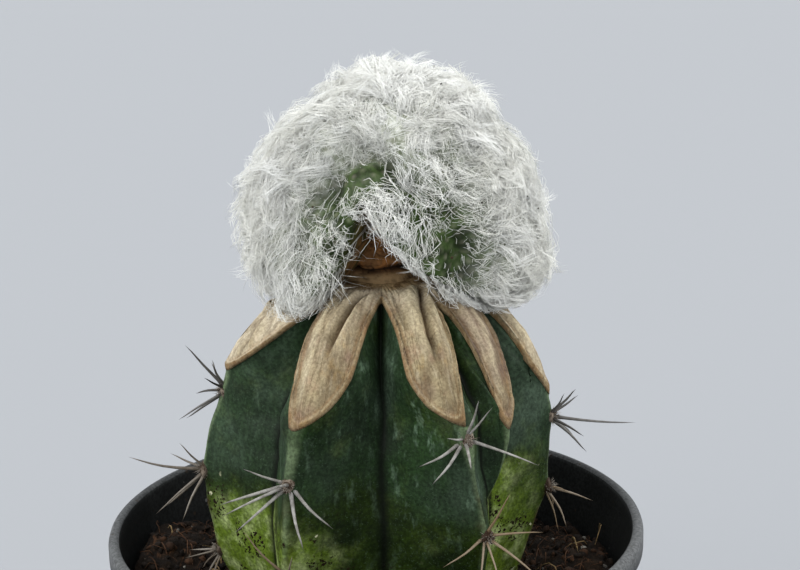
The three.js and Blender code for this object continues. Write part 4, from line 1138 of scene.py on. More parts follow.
    def azimuth(self, z):
        """Every column's azimuth at a height, or at one height for each column."""
        return self.followed(z) + self.moved * ramp(z, 84, self.corner_z)

    def followed(self, z):
        """The azimuth where a column would be if it kept its share of the way from crest to groove."""
        z = np.broadcast_to(z, self.top.shape)
        at = np.empty_like(self.top)
        for i, rib in enumerate(RIBS):
            of_rib = self.rib == i
            for gap in np.unique(self.gap_of[of_rib]):
                here = of_rib & (self.gap_of == gap)
                groove = np.interp(z[here], HEIGHTS, self.gaps[gap][1]) - self.shift[here]
                at[here] = mix(rib_azimuth(rib, z[here]), groove, self.share[here])
        return at


FORM = {}


def form():
    """The rootstock's form, worked out once."""
    if not FORM:
        FORM["stem"] = Form()
    return FORM["stem"]


def areole_places():
    """Name, place and outward direction of every areole."""
    places = []
    for rib in RIBS:
        for i, z in enumerate(rib["areoles"]):
            at = stem_point(rib_azimuth(rib, z), np.float64(z), rib_crest(rib, z))
            out = unit(np.array([at[0] - axis_x(z), at[1], 0.0]))
            places.append((f"{rib['name']}-{i}", at - 0.25 * out, out))
    return places


def stem_finish(settings):
    finish = Finish("stem_skin", roughness=0.6, specular=0.08)
    flesh, bloom = settings.flesh, settings.bloom
    wax = finish.patches(130, 0.38, 0.68, 10.0, (1, 1, 0.6))
    scuff = finish.patches(380, 0.54, 0.70, 10.0, (1.3, 1.3, 0.5))
    ragged = finish.ramped(finish.cloud(120, 8.0), 0.3, 0.7, -0.25, 0.25)
    young = finish.ramped(finish.maths("ADD", finish.painted("young"), ragged, clamp=True), 0.05, 0.95)
    dotted = finish.laid(
        finish.mottle(90, rgb(flesh, 0.6), rgb(flesh, 1.9), 0.35, 0.65, 7.0),
        # Dark olive low down, which also lays one streak of painted shade
        ("low", 1, finish.mottle(110, (0.004, 0.009, 0.0010), (0.015, 0.028, 0.0030), 0.35, 0.65, 6.0)),
        ("bloom", finish.ramped(wax, 0, 1, 0.35, 1.0), bloom),
        (scuff, finish.painted("scuff"), rgb(bloom, 2.4)),
        (young, 1, finish.mottle(300, settings.young, (0.30, 0.36, 0.15), 0.42, 0.74, 7.0)),
        ("crest", 0.9, (0.12, 0.165, 0.085)),
        (finish.specks(2300, 0.32, 0.35), 0.3, rgb(bloom, 1.7)))
    streaked = finish.shaded(dotted, 1500, grey(0.90), grey(1.1), 0.38, 0.62, 3.0, (1, 1, 0.25))
    grained = finish.shaded(streaked, 2000, grey(0.72), grey(1.28), 0.36, 0.64, 4.0)
    dirt = finish.painted("dirt")
    spot = finish.maths("MULTIPLY", finish.specks(1500, 0.44, 0.8), dirt)
    grit = finish.maths("MULTIPLY", finish.specks(640, 0.26, 0.12), dirt)
    finish.colour(finish.laid(
        grained,
        (finish.ramped(grit, 0.1, 0.3), 1, (0.42, 0.42, 0.27)),
        (finish.ramped(spot, 0.2, 0.45), 1, (0.011, 0.006, 0.003)),
        # The grooves between the ribs are darkened here as painted shade
        ("groove", 0.95, (0.002, 0.0035, 0.0015)),
        ("scab", 1, (0.045, 0.026, 0.012))))
    finish.roughness(finish.ramped(wax, 0, 1, 0.5, 0.7))
    finish.relief((finish.cloud(420, 5.0), 0.12), (finish.cloud(2000, 3.0), 0.03), (spot, 0.12))
    return finish.material


class CACTUS_OT_rootstock(bpy.types.Operator):
    """Builds the ribbed rootstock up to the cut under its skin"""

    bl_idname = "cactus.rootstock"
    bl_label = "Rootstock"

    def execute(self, context):
        settings = context.scene.cactus_stem
        f = form()
        flanks = [36, 44, 51, 55, 57, *np.linspace(58.5, SHOULDER, 32)]
        rows = []
        for z in flanks:
            azimuth = f.azimuth(z)
            rows.append(stem_point(azimuth, np.full_like(azimuth, z), f.reach(azimuth, z)))
        corner = f.corner(STEM_LAYER)
        corner_r, corner_z = f.cut(f.top, corner, STEM_LAYER)
        for climb in np.linspace(0, 1, SHOULDER_ROWS + 1)[1:]:
            z = mix(SHOULDER, corner_z, climb)
            azimuth = f.azimuth(z) if climb < 1 else f.top
            r = mix(f.reach(azimuth, z), corner_r, ramp(climb, 0.7, 1.0))
            rows.append(stem_point(azimuth, z, r))
        for part in (0.7, 0.35, 0.0, -0.5):
            r, z = f.cut(f.top, part * corner if part > 0 else np.full_like(corner, part), STEM_LAYER)
            rows.append(stem_point(f.top, z, r))
        rows = np.array(rows)
        on_flank = len(flanks) + SHOULDER_ROWS
        normals = row_normals(rows)
        lumps = 0.22 * noise(rows, 9.0, 60, 2) + 0.05 * noise(rows, 2.4, 61, 2)
        for _, at, _ in areole_places():
            near = np.exp(-np.sum((rows - at) ** 2, axis=-1) / 2.6 ** 2)
            lumps += 0.45 * near
        weight = ramp(corner_z[None] - rows[..., 2], 0.0, 1.5)
        weight[on_flank:] = 0
        rows = rows + normals * (lumps * weight)[..., None]
        stem = ring_piece("ribbed_stem", rows)
        self.paint_stem(stem, rows, f)
        finish_piece(stem, stem_finish(settings), "stem_green", "rootstock")
        return {"FINISHED"}

    def paint_stem(self, stem, rows, f):
        """Where the rootstock is waxy, yellow, dark olive low down, dirty, scuffed, in a groove or on a crest;
        the grooves and one streak are darkened as painted shade.
        """
        p = capped(rows)
        z = p[:, 2]
        r, turn = about_axis(p)
        azimuth = np.degrees(turn)
        share = np.append(np.tile(f.share, len(rows)), [0.5, 0.5])
        broad = noise(p, 14.0, 70, 2)
        ragged = 4 * broad + 2.5 * noise(p, 3.5, 76, 2)
        patchy = ramp(noise(p, 5.0, 72, 2), -0.1, 0.5)

        def near(centre, wide):
            return np.exp(-(((azimuth - centre + 180) % 360 - 180) / wide) ** 2)

        def under(height, fade):
            top = height + ragged
            return 1 - ramp(z, top - fade, top)

        def over(low, high):
            return ramp(z, low, high)

        def patches(name):
            total = 0.0
            for strength, limits in STEM_PATCHES[name]:
                for kind, numbers in limits.items():
                    strength = strength * {"near": near, "under": under, "over": over}[kind](*numbers)
                total = total + strength
            return total

        # Dark olive towards the soil, and one streak of painted shade
        low = np.maximum(under(patches("low_height"), 5), patches("shade_streak"))
        scuff = patches("scuff") * (0.6 + 0.6 * noise(p, 8, 74))
        margin = (1 - ramp(share, 0.0, 0.11)) * ramp(noise(p, 2.6, 75, 3), 0.0, 0.45) * under(86, 6)
        crest = (1 - ramp(share, 0.0, 0.055)) * ramp(r, 15, 20)
        for name, values in dict(
                young=np.clip(patches("young"), 0, 1),
                low=low,
                bloom=np.clip((patches("bloom") + 0.28 * broad) * (1 - 0.85 * low), 0, 1),
                dirt=np.clip(patchy * patches("dirt") + patches("dust"), 0, 1),
                scuff=np.clip(scuff, 0, 0.85),
                scab=0.85 * margin * np.clip(patches("scab"), 0, 1),
                # How deep in a groove between ribs, for the painted shade there
                groove=ramp(share, 0.86, 1.0),
                crest=crest * np.clip(0.6 + 0.6 * noise(p, 3.0, 73), 0, 1)).items():
            paint(stem, name, values)


# Cut skin

def near_line(points, line):
    """Distance in plan from points to a line of points."""
    best = np.full(points.shape[:-1], np.inf)
    for a, b in zip(line, line[1:]):
        run = b - a
        t = np.clip(((points - a) @ run) / max(run @ run, 1e-9), 0, 1)
        best = np.minimum(best, np.linalg.norm(points - a - t[..., None] * run, axis=-1))
    return best


def fold_relief(plan):
    """Height of the skin's folds over plan points, and masks of how deep in furrows and how high on ridges
    each is, for painted shade in the furrows and a painted highlight on the ridges.
    """
    height = np.zeros(plan.shape[:-1])
    furrow = np.zeros(plan.shape[:-1])
    ridge = np.zeros(plan.shape[:-1])
    reach = np.linalg.norm(plan, axis=-1)
    for rib in RIBS:
        tip = float(column(rib["line"], 1, rib["tip"]))
        for line, depth, wide in FOLDS[rib["name"]]:
            r = np.array([a for a, _ in line])
            turns = np.radians(np.array([a for _, a in line]) + tip)
            starts = ramp(reach, r[0] - FADE["start"][0], r[0] + FADE["start"][1])
            ends = starts * (1 - ramp(reach, r[-1] - FADE["end"][0], r[-1] + FADE["end"][1]))

            def off(aside):
                moved = turns + aside / r
                return near_line(plan, np.stack([r * np.sin(moved), -r * np.cos(moved)], axis=-1))

            shape = ends * np.exp(-(off(0.0) / (wide * (0.5 + 0.5 * ends) + 0.02)) ** 1.5)
            height += depth * shape
            if depth < 0:
                lips = sum(np.exp(-(off(side * LIP["aside"]) / LIP["width"]) ** 2) for side in (-1, 1))
                height += LIP["height"] * ends * lips * -depth
                furrow = np.maximum(furrow, shape * min(1, -depth / 0.7))
                ridge = np.maximum(ridge, 0.6 * ends * lips)
            else:
                ridge = np.maximum(ridge, shape)
    return height, furrow, np.clip(ridge, 0, 1)


def wrinkles(across, along, rib):
    """Long fine creases down each finger: 1 in a crease, 0 beside it."""
    total = np.zeros(across.shape)
    for wide, long, seed, share in CREASES:
        place = np.stack([across / wide, along / long, rib * 7.3], axis=-1)
        place[..., 0] += 0.8 * noise(np.stack([across / 4, along / 5, rib * 3.1], axis=-1), 1.0, seed + 9)
        total = np.maximum(total, share * np.exp(-(noise(place, 1.0, seed) / 0.13) ** 2))
    return total


def callus_finish(settings):
    finish = Finish("callus", roughness=0.8, specular=0.15)
    fibre = finish.node("ShaderNodeUVMap", uv_map="Fibres").outputs[0]
    streak = finish.cloud(1.5, 5.0, finish.stretched((1.0, 0.24, 1.0), fibre))
    wavy = finish.cloud(0.8, 4.0, finish.stretched((1.0, 0.16, 1.0), fibre))
    crease = finish.ramped(finish.maths("ABSOLUTE", finish.maths("SUBTRACT", wavy, 0.5)), 0.018, 0.002)
    ragged = finish.ramped(finish.cloud(500, 4.0), 0.3, 0.65, 0.2, 0.8)
    hemmed = finish.laid(
        finish.mottle(260, rgb(settings.callus, 0.84), rgb(settings.callus, 1.2), 0.36, 0.64, 7.0),
        (finish.patches(330, 0.50, 0.70, 6.0, (1.3, 1, 0.7)), 0.55, (0.30, 0.19, 0.13)),
        (finish.patches(290, 0.54, 0.70, 6.0, (1, 1, 0.5)), 0.6, (0.33, 0.215, 0.07)),
        (finish.ramped(streak, 0.52, 0.72), 0.38, (0.17, 0.105, 0.045)),
        (finish.ramped(streak, 0.46, 0.32), 0.45, (0.47, 0.41, 0.29)),
        # Fine creases are darkened here as painted shade
        (crease, 0.3, (0.11, 0.062, 0.025)),
        # Stains, and on some fingers painted shade, darken the skin here
        ("stain", 0.8, (0.15, 0.10, 0.08)),
        # The fingers' tops by the collar, and the outer parts of two fingers, are lightened here as painted
        # light
        ("pale", 1, (0.62, 0.54, 0.41)),
        # Ridges are lightened here as a painted highlight
        ("ridge", 0.6, (0.52, 0.45, 0.31)),
        # Furrows and fine creases are darkened here as painted shade
        ("furrow", 0.95, (0.060, 0.033, 0.013)),
        ("collar", 1, finish.mottle(480, (0.15, 0.09, 0.04), (0.38, 0.27, 0.14), 0.38, 0.62, 8.0)),
        (finish.specks(1500, 0.32, 0.3), 0.2, (0.10, 0.06, 0.035)),
        ("edge", ragged, settings.edge))
    finish.colour(finish.shaded(hemmed, 2400, (0.82, 0.80, 0.77), (1.16, 1.16, 1.14), 0.36, 0.64, 3.0))
    finish.relief((finish.cloud(650, 7.0), 0.22), (streak, 0.2), (crease, -0.06),
                  (finish.cloud(2300, 4.0), 0.06))
    return finish.material


class CACTUS_OT_cut_skin(bpy.types.Operator):
    """Builds the tan skin over the cut, with a fold or two along each finger"""

    bl_idname = "cactus.cut_skin"
    bl_label = "Cut rib skin"

    def execute(self, context):
        settings = context.scene.cactus_stem
        f = form()
        low_corner = f.corner(UNDER_LAYER)
        top_corner = f.corner(OVER_LAYER)

        def cut_row(part, corner, layer):
            share = part * corner if part > 0 else np.full_like(corner, float(part))
            r, z = f.cut(f.top, share, layer)
            return stem_point(f.top, z, r)

        below = [cut_row(part, low_corner, UNDER_LAYER) for part in (-0.5, 0, 0.5, 1)]
        parts = np.concatenate([1 - np.linspace(0, 1, SKIN["rows"]) ** SKIN["spacing"], [-0.15, -0.3, -0.5]])
        above = [cut_row(part, top_corner, OVER_LAYER) for part in parts]
        lower, upper = below[-1], above[0]
        side = [mix(lower, upper, s) for s in (0.33, 0.67)]
        rows = np.array(below + side + above)
        first_top = len(below) + len(side)

        top = rows[first_top:]
        inset = distance_to(top, mix(lower, upper, 0.8))
        plan = top[..., :2] - np.stack([axis_x(top[..., 2]), 0 * top[..., 2]], axis=-1)
        height, furrow, ridge = fold_relief(plan)
        r = np.linalg.norm(plan, axis=-1)
        inner = ramp(inset, 0.1, 1.1)
        crown = CROWN["high"] * ramp(inset, 0.0, CROWN["wide"]) - CROWN["sunk"]
        lumps = 0.16 * noise(top, 3.2, 80, 2) + 0.10 * noise(top * [1, 1, 0.4], 1.2, 81, 2)
        across = turned_off(about_axis(top)[1], f.tip_azimuth) * SKIN["round"]
        crease = wrinkles(across, r, np.broadcast_to(f.rib, r.shape).astype(float))
        hem = sum(high * np.exp(-((inset - at) / wide) ** 2) for high, at, wide in HEM)
        lift = settings.fold_depth * height * inner * ramp(r, 7.5, 11) + crown * ramp(r, 7, 10) + lumps * inner
        lift += hem * ramp(r, 8, 11) - 0.2 * crease * inner * ramp(r, 7, 9)
        lift -= CROWN["edge_drop"] * (1 - ramp(inset, 0.0, CROWN["edge_wide"]))
        normals = row_normals(rows)[first_top:]
        up = unit(np.where(normals[..., 2:] < 0.3, normals + [0, 0, 0.6], normals))
        top = top + up * lift[..., None]
        rows[first_top:] = top
        run = np.roll(lower, -1, axis=0) - np.roll(lower, 1, axis=0)
        out = unit(np.stack([run[:, 1], -run[:, 0], 0 * run[:, 0]], axis=-1))
        ragged = 0.6 + 0.5 * noise(lower, 1.4, 84, 2)
        for row, by in enumerate(EDGE_OUT, len(below) - 1):
            rows[row] += out * (by * ragged)[:, None]

        skin = ring_piece("callus_skin", rows)
        # Furrows and fine creases, for the skin's painted shade
        furrow = np.maximum(furrow * inner, 0.45 * crease * inner)
        self.paint_skin(skin, rows, first_top, inset, furrow, ridge * inner, f)
        finish_piece(skin, callus_finish(settings), "cut_skin", "cut_rib_skin")
        return {"FINISHED"}

    def paint_skin(self, skin, rows, first_top, inset, furrow, ridge, f):
        """Where the skin is folded, stained, at its edge or by the collar, and the way its fibres run; the
        furrows, creases and some fingers are darkened as painted shade, the ridges get a painted highlight and
        the fingers' tops painted light.
        """
        top = rows[first_top:]
        r = about_axis(top)[0]
        cloud = noise(top, 4.0, 91, 3)

        def on_ribs(shares):
            return np.broadcast_to(np.array([shares.get(rib["name"], 0.0) for rib in RIBS])[f.rib], r.shape)

        line = np.exp(-((inset - 0.55) / 0.2) ** 2)
        # Stains in clouds, and painted shade over some whole fingers
        stain = on_ribs(STAINED_AND_SHADED) * (0.7 + 0.6 * cloud) + ramp(cloud, 0.25, 0.9) * 0.5
        # Painted light on the fingers' tops by the collar and on the outer parts of two fingers
        pale = 0.8 * ramp(15.5 - r, 0, 4) * ramp(r, 7.5, 10) + on_ribs(LIT_FINGERS) * ramp(r, 12, 18)
        for name, below, values in (
                ("furrow", 0.0, furrow),
                ("ridge", 0.0, ridge),
                ("edge", 1.0, np.clip(1 - ramp(inset, 0.0, 0.16) + 0.75 * line, 0, 1)),
                ("collar", 0.0, 1 - ramp(r + 0.8 * noise(top, 2.0, 90, 2), 7.0, 10.5)),
                ("stain", 0.0, np.clip(stain, 0, 1)),
                ("pale", 0.0, pale * np.clip(0.75 + 0.5 * cloud, 0, 1))):
            flat = np.full(first_top * rows.shape[1], below)
            paint(skin, name, np.concatenate([flat, values.ravel(), [below, values[-1].mean()]]))
        reach, turn = about_axis(capped(rows))
        crest = np.append(np.tile(f.tip_azimuth, len(rows)), [0.0, 0.0])
        across = turned_off(turn, crest) * SKIN["round"]
        corner = np.empty(len(skin.data.loops), np.int32)
        skin.data.loops.foreach_get("vertex_index", corner)
        layer = skin.data.uv_layers.new(name="Fibres")
        fibres = np.stack([across[corner], reach[corner]], axis=-1)
        layer.data.foreach_set("uv", fibres.astype(np.float32).ravel())


# Areoles and spines

def horn_finish(settings):
    finish = Finish("spine_horn", roughness=0.55, specular=0.4)
    shade = finish.node("ShaderNodeValToRGB", {0: finish.painted("along")})
    stops = shade.color_ramp.elements
    for place, share in HORN_SHADES:
        stop = stops[0] if place == 0 else stops[-1] if place == 1 else stops.new(place)
        stop.color = rgb(settings.horn, share)
    weathered = finish.shaded(shade.outputs[0], 900, (0.6, 0.58, 0.55), grey(1.1), 0.35, 0.65, 5.0)
    finish.colour(finish.laid(weathered, ("old", 1, (0.028, 0.024, 0.02)), ("dead", 1, (0.16, 0.105, 0.050))))
    finish.relief((finish.cloud(1500, 4.0, (1, 1, 0.3)), 0.05))
    return finish.material


def felt_finish(name, dark, light):
    finish = Finish(name, roughness=0.9, specular=0.1)
    cloud = finish.mottle(1200, dark, light, 0.38, 0.62, 6.0)
    finish.colour(finish.laid(cloud, ("dead", 1, (0.022, 0.011, 0.006))))
    finish.relief((finish.cloud(2200, 5.0), 0.18))
    return finish.material


def star_spines(name, out, rng):
    """Steps from an areole to its spines' tips: those read from the nearest ones, or a star."""
    if name in NAMED_SPINES:
        return np.array(NAMED_SPINES[name])
    side = np.array([-out[1], out[0], 0.0])
    steps = []
    for i in range(SPINE["star"]):
        turn = (i + rng.uniform(0, 0.35)) * TURN / SPINE["star"]
        length = rng.uniform(*SPINE["length"])
        around = side * math.cos(turn) + np.array([0, 0, math.sin(turn)])
        steps.append(length * (around + out * rng.uniform(0.35, 0.75)))
    return np.array(steps)


class CACTUS_OT_spines(bpy.types.Operator):
    """Builds the felted areoles down the rib crests, and their stiff spines"""

    bl_idname = "cactus.spines"
    bl_label = "Areoles and spines"

    def execute(self, context):
        settings = context.scene.cactus_stem
        rng = np.random.default_rng(31)
        taper = np.linspace(0, 1, SPINE["rings"])
        thickness = mix(SPINE["root"], SPINE["tip"], taper ** 1.5) * (1 + 0.5 * np.exp(-(taper / 0.12) ** 2))
        pads, paths, radii, shades, felt = [], [], [], [], []
        for name, at, out in areole_places():
            pads.append(self.pad(at, out))
            for step in star_spines(name, out, rng):
                paths.append(self.spine(at, out, step, rng))
                old = OLD_SPINES.get(name, 0.15) * rng.uniform(0.5, 1.1)
                dead = DEAD_AREOLES.get(name, 0.0) * rng.uniform(0.6, 1.1)
                shades.append((old, dead))
                size = rng.uniform(0.75, 1.1) * (0.75 + 0.03 * np.linalg.norm(step)) * (1 - 0.3 * dead)
                radii.append(size * thickness)
            felt.append(self.felt(at, out, rng))
        pads = joined(pads, "areole_pads")
        paint(pads, "dead", self.near_dead(points_of(pads)))
        cushion = felt_finish("areole_cushion", (0.045, 0.03, 0.02), (0.22, 0.18, 0.14))
        finish_piece(pads, cushion, "stem_green")
        spines, each = strands("spines", np.array(paths), np.array(radii), SPINE["sides"])
        for name, values in zip(("old", "dead"), np.repeat(np.array(shades), each, axis=0).T):
            paint(spines, name, values)
        finish_piece(spines, horn_finish(settings), "stem_green")
        fuzz = np.concatenate(felt)
        width = AREOLE["felt_width"] * np.linspace(1, 0.3, fuzz.shape[1])
        down, _ = strands("areole_felt", fuzz, np.tile(width, (len(fuzz), 1)), 3)
        finish_piece(down, felt_finish("areole_down", (0.07, 0.05, 0.035), (0.36, 0.32, 0.27)), "stem_green")
        return {"FINISHED"}

    def pad(self, at, out):
        """A lumpy cushion, pressed flat against its rib."""
        select_none()
        bpy.ops.mesh.primitive_ico_sphere_add(subdivisions=3, radius=AREOLE["radius"] * MM)
        pad = bpy.context.object
        p = points_of(pad)
        p *= 1 + 0.28 * noise(p + at * 3, 0.9, 33, 2)[:, None]
        p = p * [1, 1, 1.1] - 0.35 * (p @ out)[:, None] * out
        move_points(pad, p + at)
        bpy.ops.object.shade_smooth()
        return pad

    def near_dead(self, points):
        """Where the pads have died and turned brown."""
        total = np.zeros(len(points))
        for name, at, _ in areole_places():
            near = np.linalg.norm(points - at, axis=1) < 2.5
            total[near] = DEAD_AREOLES.get(name, 0.0)
        return np.clip(total, 0, 1)

    def spine(self, at, out, step, rng):
        """A spine's path: out of the pad, then on with a slight bend."""
        tip = at + step
        tip[2] = max(tip[2], SOIL["level"] + SPINE["over_soil"])
        step = tip - at
        way = unit(step)
        root = at + SPINE["sink"] * (way - out)
        bend = rng.normal(0, 0.018, 3) * np.linalg.norm(step)
        share = np.linspace(0, 1, SPINE["rings"])[:, None]
        bow = np.sin(math.pi * share)
        return root + (tip - root) * share + bend * bow + 0.35 * out * bow ** 2

    def felt(self, at, out, rng):
        """Short down that stands up all over a pad."""
        way = unit(rng.normal(0, 1, (AREOLE["felt"], 3)) + 0.9 * out)
        root = at + way * AREOLE["radius"] * 0.7
        tip = root + way * AREOLE["felt_length"] * rng.uniform(0.3, 1.0, (AREOLE["felt"], 1))
        tip += rng.normal(0, 0.15, tip.shape)
        return np.stack([root, mix(root, tip, 0.5) + rng.normal(0, 0.06, tip.shape), tip], axis=1)


# Graft union

def cork_finish():
    finish = Finish("union_cork", roughness=0.85, specular=0.15)
    finish.colour(finish.laid(
        finish.mottle(330, (0.06, 0.026, 0.010), (0.25, 0.125, 0.05), 0.38, 0.64, 7.0),
        (finish.patches(520, 0.52, 0.66, 7.0), 0.7, (0.38, 0.16, 0.045)),
        ("foot", 1, (0.27, 0.18, 0.09)),
        ("crack", 1, (0.012, 0.006, 0.003))))
    finish.relief((finish.cloud(600, 7.0), 0.4), (finish.cloud(1900, 4.0), 0.1))
    return finish.material


class CACTUS_OT_union(bpy.types.Operator):
    """Builds the corky neck between rootstock and crest"""

    bl_idname = "cactus.union"
    bl_label = "Graft union"

    def execute(self, context):
        low, high = NECK["low"], NECK["high"]
        heights = np.linspace(low, high, NECK["rings"])
        radii = column(NECK["shape"], 1, heights)
        neck = turned("graft_collar", [(0.5, low), (3.0, low), *zip(radii, heights), (2.0, high), (0.5, high)],
                      NECK["sides"], NECK["x"])
        p = points_of(neck)
        out = p[:, :2] - [NECK["x"], 0.0]
        r = np.linalg.norm(out, axis=1)
        side = ramp(r, *NECK["side"])
        stretched = p * [1, 1, 1.6]
        rough = 0.4 * noise(stretched, 2.6, 50, 3) + 0.12 * np.abs(noise(stretched, 0.9, 51, 2))
        ring = np.exp(-((p[:, 2] - NECK["crack"] - 0.35 * noise(p, 3.0, 52)) / 0.28) ** 2)
        cracks = ramp(np.abs(noise(stretched, 2.2, 53, 2)), 0.1, 0.0) * 0.6
        p[:, :2] += out * (side * (rough - 0.7 * ring - 0.25 * cracks) / r)[:, None]
        move_points(neck, p)
        paint(neck, "crack", np.clip(side * (ring + cracks), 0, 1))
        paint(neck, "foot", 1 - ramp(p[:, 2], low + 1.2, low + 2.6))
        smooth_all(neck)
        finish_piece(neck, cork_finish(), "union_brown", "graft_union")
        return {"FINISHED"}


# Crest

def closeness(path, wide, d):
    """How close directions are to a path of directions: 1 on it, falling to 0."""
    best = np.full(d.shape[:-1], np.inf)
    for a, b in zip(path, path[1:]):
        for s in np.linspace(0, 1, 5):
            p = unit(mix(np.array(a), np.array(b), s))
            best = np.minimum(best, np.linalg.norm(d - p, axis=-1))
    return np.exp(-(best / wide) ** 2)


def closed_share(d):
    """How far the crest is closed in each direction: 0 in the hollow under it, 1 on the fan."""
    azimuth = np.arctan2(d[..., 0], -d[..., 1])
    start = ARCH["closed"]
    for turn, rise, left, right in ARCHES:
        off = turned_off(azimuth, math.radians(turn))
        start = start - rise * np.exp(-np.abs(off) / np.radians(np.where(off < 0, left, right)))
    return 1 - ramp((-d[..., 2] - start) / ARCH["soft"], 0, 1)


def spot(d, place, wide):
    """1 in a direction, falling to 0 around it."""
    return np.exp(-(np.linalg.norm(d - unit(np.array(place)), axis=-1) / wide) ** 2)


def envelope(d):
    """Radius that the hair fills in each direction, as if the hollow under it were closed."""
    radius = 1 / np.linalg.norm(d / np.array(CREST["size"]), axis=-1)
    for place, by, wide in SWELLINGS:
        radius = radius + by * spot(d, place, wide)
    for depth, wide, path in VALLEYS:
        radius = radius - depth * closeness(path, wide, d)
    return radius + 0.35 * np.sin(9 * d[..., 0] + 3 * d[..., 2]) * np.sin(8 * d[..., 1] - 5 * d[..., 2])


def crest_radius(d, inset):
    """Radius of the fan under its hair, drawn in by an inset, with the hollow under it."""
    inner = ARCH["inner"] + ARCH["flare"] * (1 + d[..., 2])
    return mix(inner, envelope(d) - inset, closed_share(d))


def crest_point(d, inset):
    return np.array(CREST["centre"]) + d * crest_radius(d, inset)[..., None]


def crest_normal(d, inset):
    """Outward normals of the crest's surface in each direction."""
    side = unit(np.cross(d, np.where(np.abs(d[..., 2:]) < 0.9, [0, 0, 1.0], [1.0, 0, 0])))
    other = np.cross(d, side)
    step = 0.02
    across = crest_point(unit(d + step * side), inset) - crest_point(unit(d - step * side), inset)
    up = crest_point(unit(d + step * other), inset) - crest_point(unit(d - step * other), inset)
    return unit(np.cross(across, up))


def even_directions(count):
    """Directions spread evenly over a sphere."""
    z = 1 - (2 * np.arange(count) + 1) / count
    turn = np.arange(count) * math.pi * (3 - math.sqrt(5))
    ring = np.sqrt(1 - z * z)
    return np.stack([ring * np.cos(turn), ring * np.sin(turn), z], axis=-1)


def sparse_share(d):
    """How thin the hair lies: 1 in the middle of the front and back, 0 at the sides and the top."""
    return ramp(0.97 * np.abs(d[..., 1]) - 0.25 * d[..., 2], 0.42, 0.85)


def bare_share(d):
    """How much of the flesh shows: most in the long valley, less in the others and in the thin places."""
    bare = closeness(BARE_BAND, 0.15, d)
    for _, wide, path in VALLEYS[1:]:
        bare = np.maximum(bare, 0.6 * closeness(path, wide, d))
    for place, wide, share in THIN_PLACES:
        bare = np.maximum(bare, share * spot(d, place, wide))
    return bare


def flesh_finish(settings):
    finish = Finish("crest_flesh", roughness=0.75, specular=0.12)
    green = finish.mottle(350, rgb(settings.flesh, 0.2), rgb(settings.flesh, 0.85), 0.38, 0.64, 6.0)
    down = finish.mottle(900, (0.26, 0.28, 0.21), (0.70, 0.71, 0.64), 0.38, 0.64, 6.0)
    hollow = finish.laid(
        finish.mottle(420, (0.075, 0.035, 0.012), (0.27, 0.14, 0.05), 0.38, 0.62, 6.0),
        (finish.patches(260, 0.48, 0.6, 5.0), 0.7, green))
    finish.colour(finish.laid(
        green, ("down", 1, down), ("hollow", 1, hollow), ("pit", 0.25, (0.42, 0.39, 0.30))))
    finish.relief((finish.cloud(900, 5.0), 0.12))
    return finish.material


class CACTUS_OT_crest(bpy.types.Operator):
    """Builds the crest's fleshy fan with its small bumps"""

    bl_idname = "cactus.crest"
    bl_label = "Crest flesh"

    def execute(self, context):
        settings = context.scene.cactus_wool
        select_none()
        bpy.ops.mesh.primitive_ico_sphere_add(subdivisions=6, radius=MM)
        flesh = bpy.context.object
        flesh.name = flesh.data.name = "crest_flesh"
        d = unit(points_of(flesh))
        off = distance_to(d, even_directions(settings.tufts)) * CREST["flesh_radius"]
        high, wide = CREST["bump"]
        bump = high * np.exp(-(off / wide) ** 2) * closed_share(d)
        move_points(flesh, crest_point(d, CREST["flesh"]) + d * bump[:, None])
        bpy.ops.object.shade_smooth()
        paint(flesh, "hollow", 1 - ramp(closed_share(d), 0.3, 0.9))
        paint(flesh, "pit", np.exp(-(off / (wide / 2)) ** 2) * closed_share(d))
        downy = (1 - sparse_share(d)) * (1 - bare_share(d)) * ramp(closed_share(d), 0.6, 0.95)
        paint(flesh, "down", np.clip(downy, 0, 1))
        finish_piece(flesh, flesh_finish(settings), "crest_wool", "crest")
        return {"FINISHED"}


# Wool

def wool_finish(settings):
    finish = Finish("wool", roughness=0.55, specular=0.25)
    # The hair is painted darker towards its root, as shade deep in the wool
    along = finish.ramped(finish.painted("along"), 0.0, 0.5)
    body = finish.blend(along, rgb(settings.white, 0.8), rgb(settings.white))
    tint = finish.blend(finish.painted("tint"), (0.90, 0.89, 0.84, 1), (1, 1, 1, 1))
    finish.colour(finish.blend(1.0, body, tint, "MULTIPLY"))
    return finish.material


def cleared(points):
    """Points lifted clear of the rootstock's cut."""
    f = form()
    r, azimuth = about_axis(points)
    tip_r = f.tip_at(azimuth)[1]
    share = np.clip((r - COLLAR["radius"]) / (tip_r - COLLAR["radius"]), 0, 1)
    floor = f.cut(azimuth, share, HAIR_LAYER)[1]
    lifted = points.copy()
    lifted[..., 2] = np.where(r < tip_r, np.maximum(floor, points[..., 2]), points[..., 2])
    return lifted


def combed(d):
    """The way that the hair falls over the crest in each direction, along its surface."""
    place = d * np.array(CREST["size"])
    table = np.array(COMBED)
    off = (place[:, None, 0] - table[:, 0]) ** 2 + (place[:, None, 2] - table[:, 1]) ** 2
    weight = np.exp(-off / (2 * COMB_REACH ** 2)) + 1e-6
    weight /= weight.sum(axis=1, keepdims=True)
    right, up = weight @ table[:, 2], weight @ table[:, 3]
    tip = 0.28 * np.sign(-d[:, 1]) * ramp(np.abs(d[:, 1]), 0, 0.4)
    return np.stack([right, up * tip, up], axis=-1)


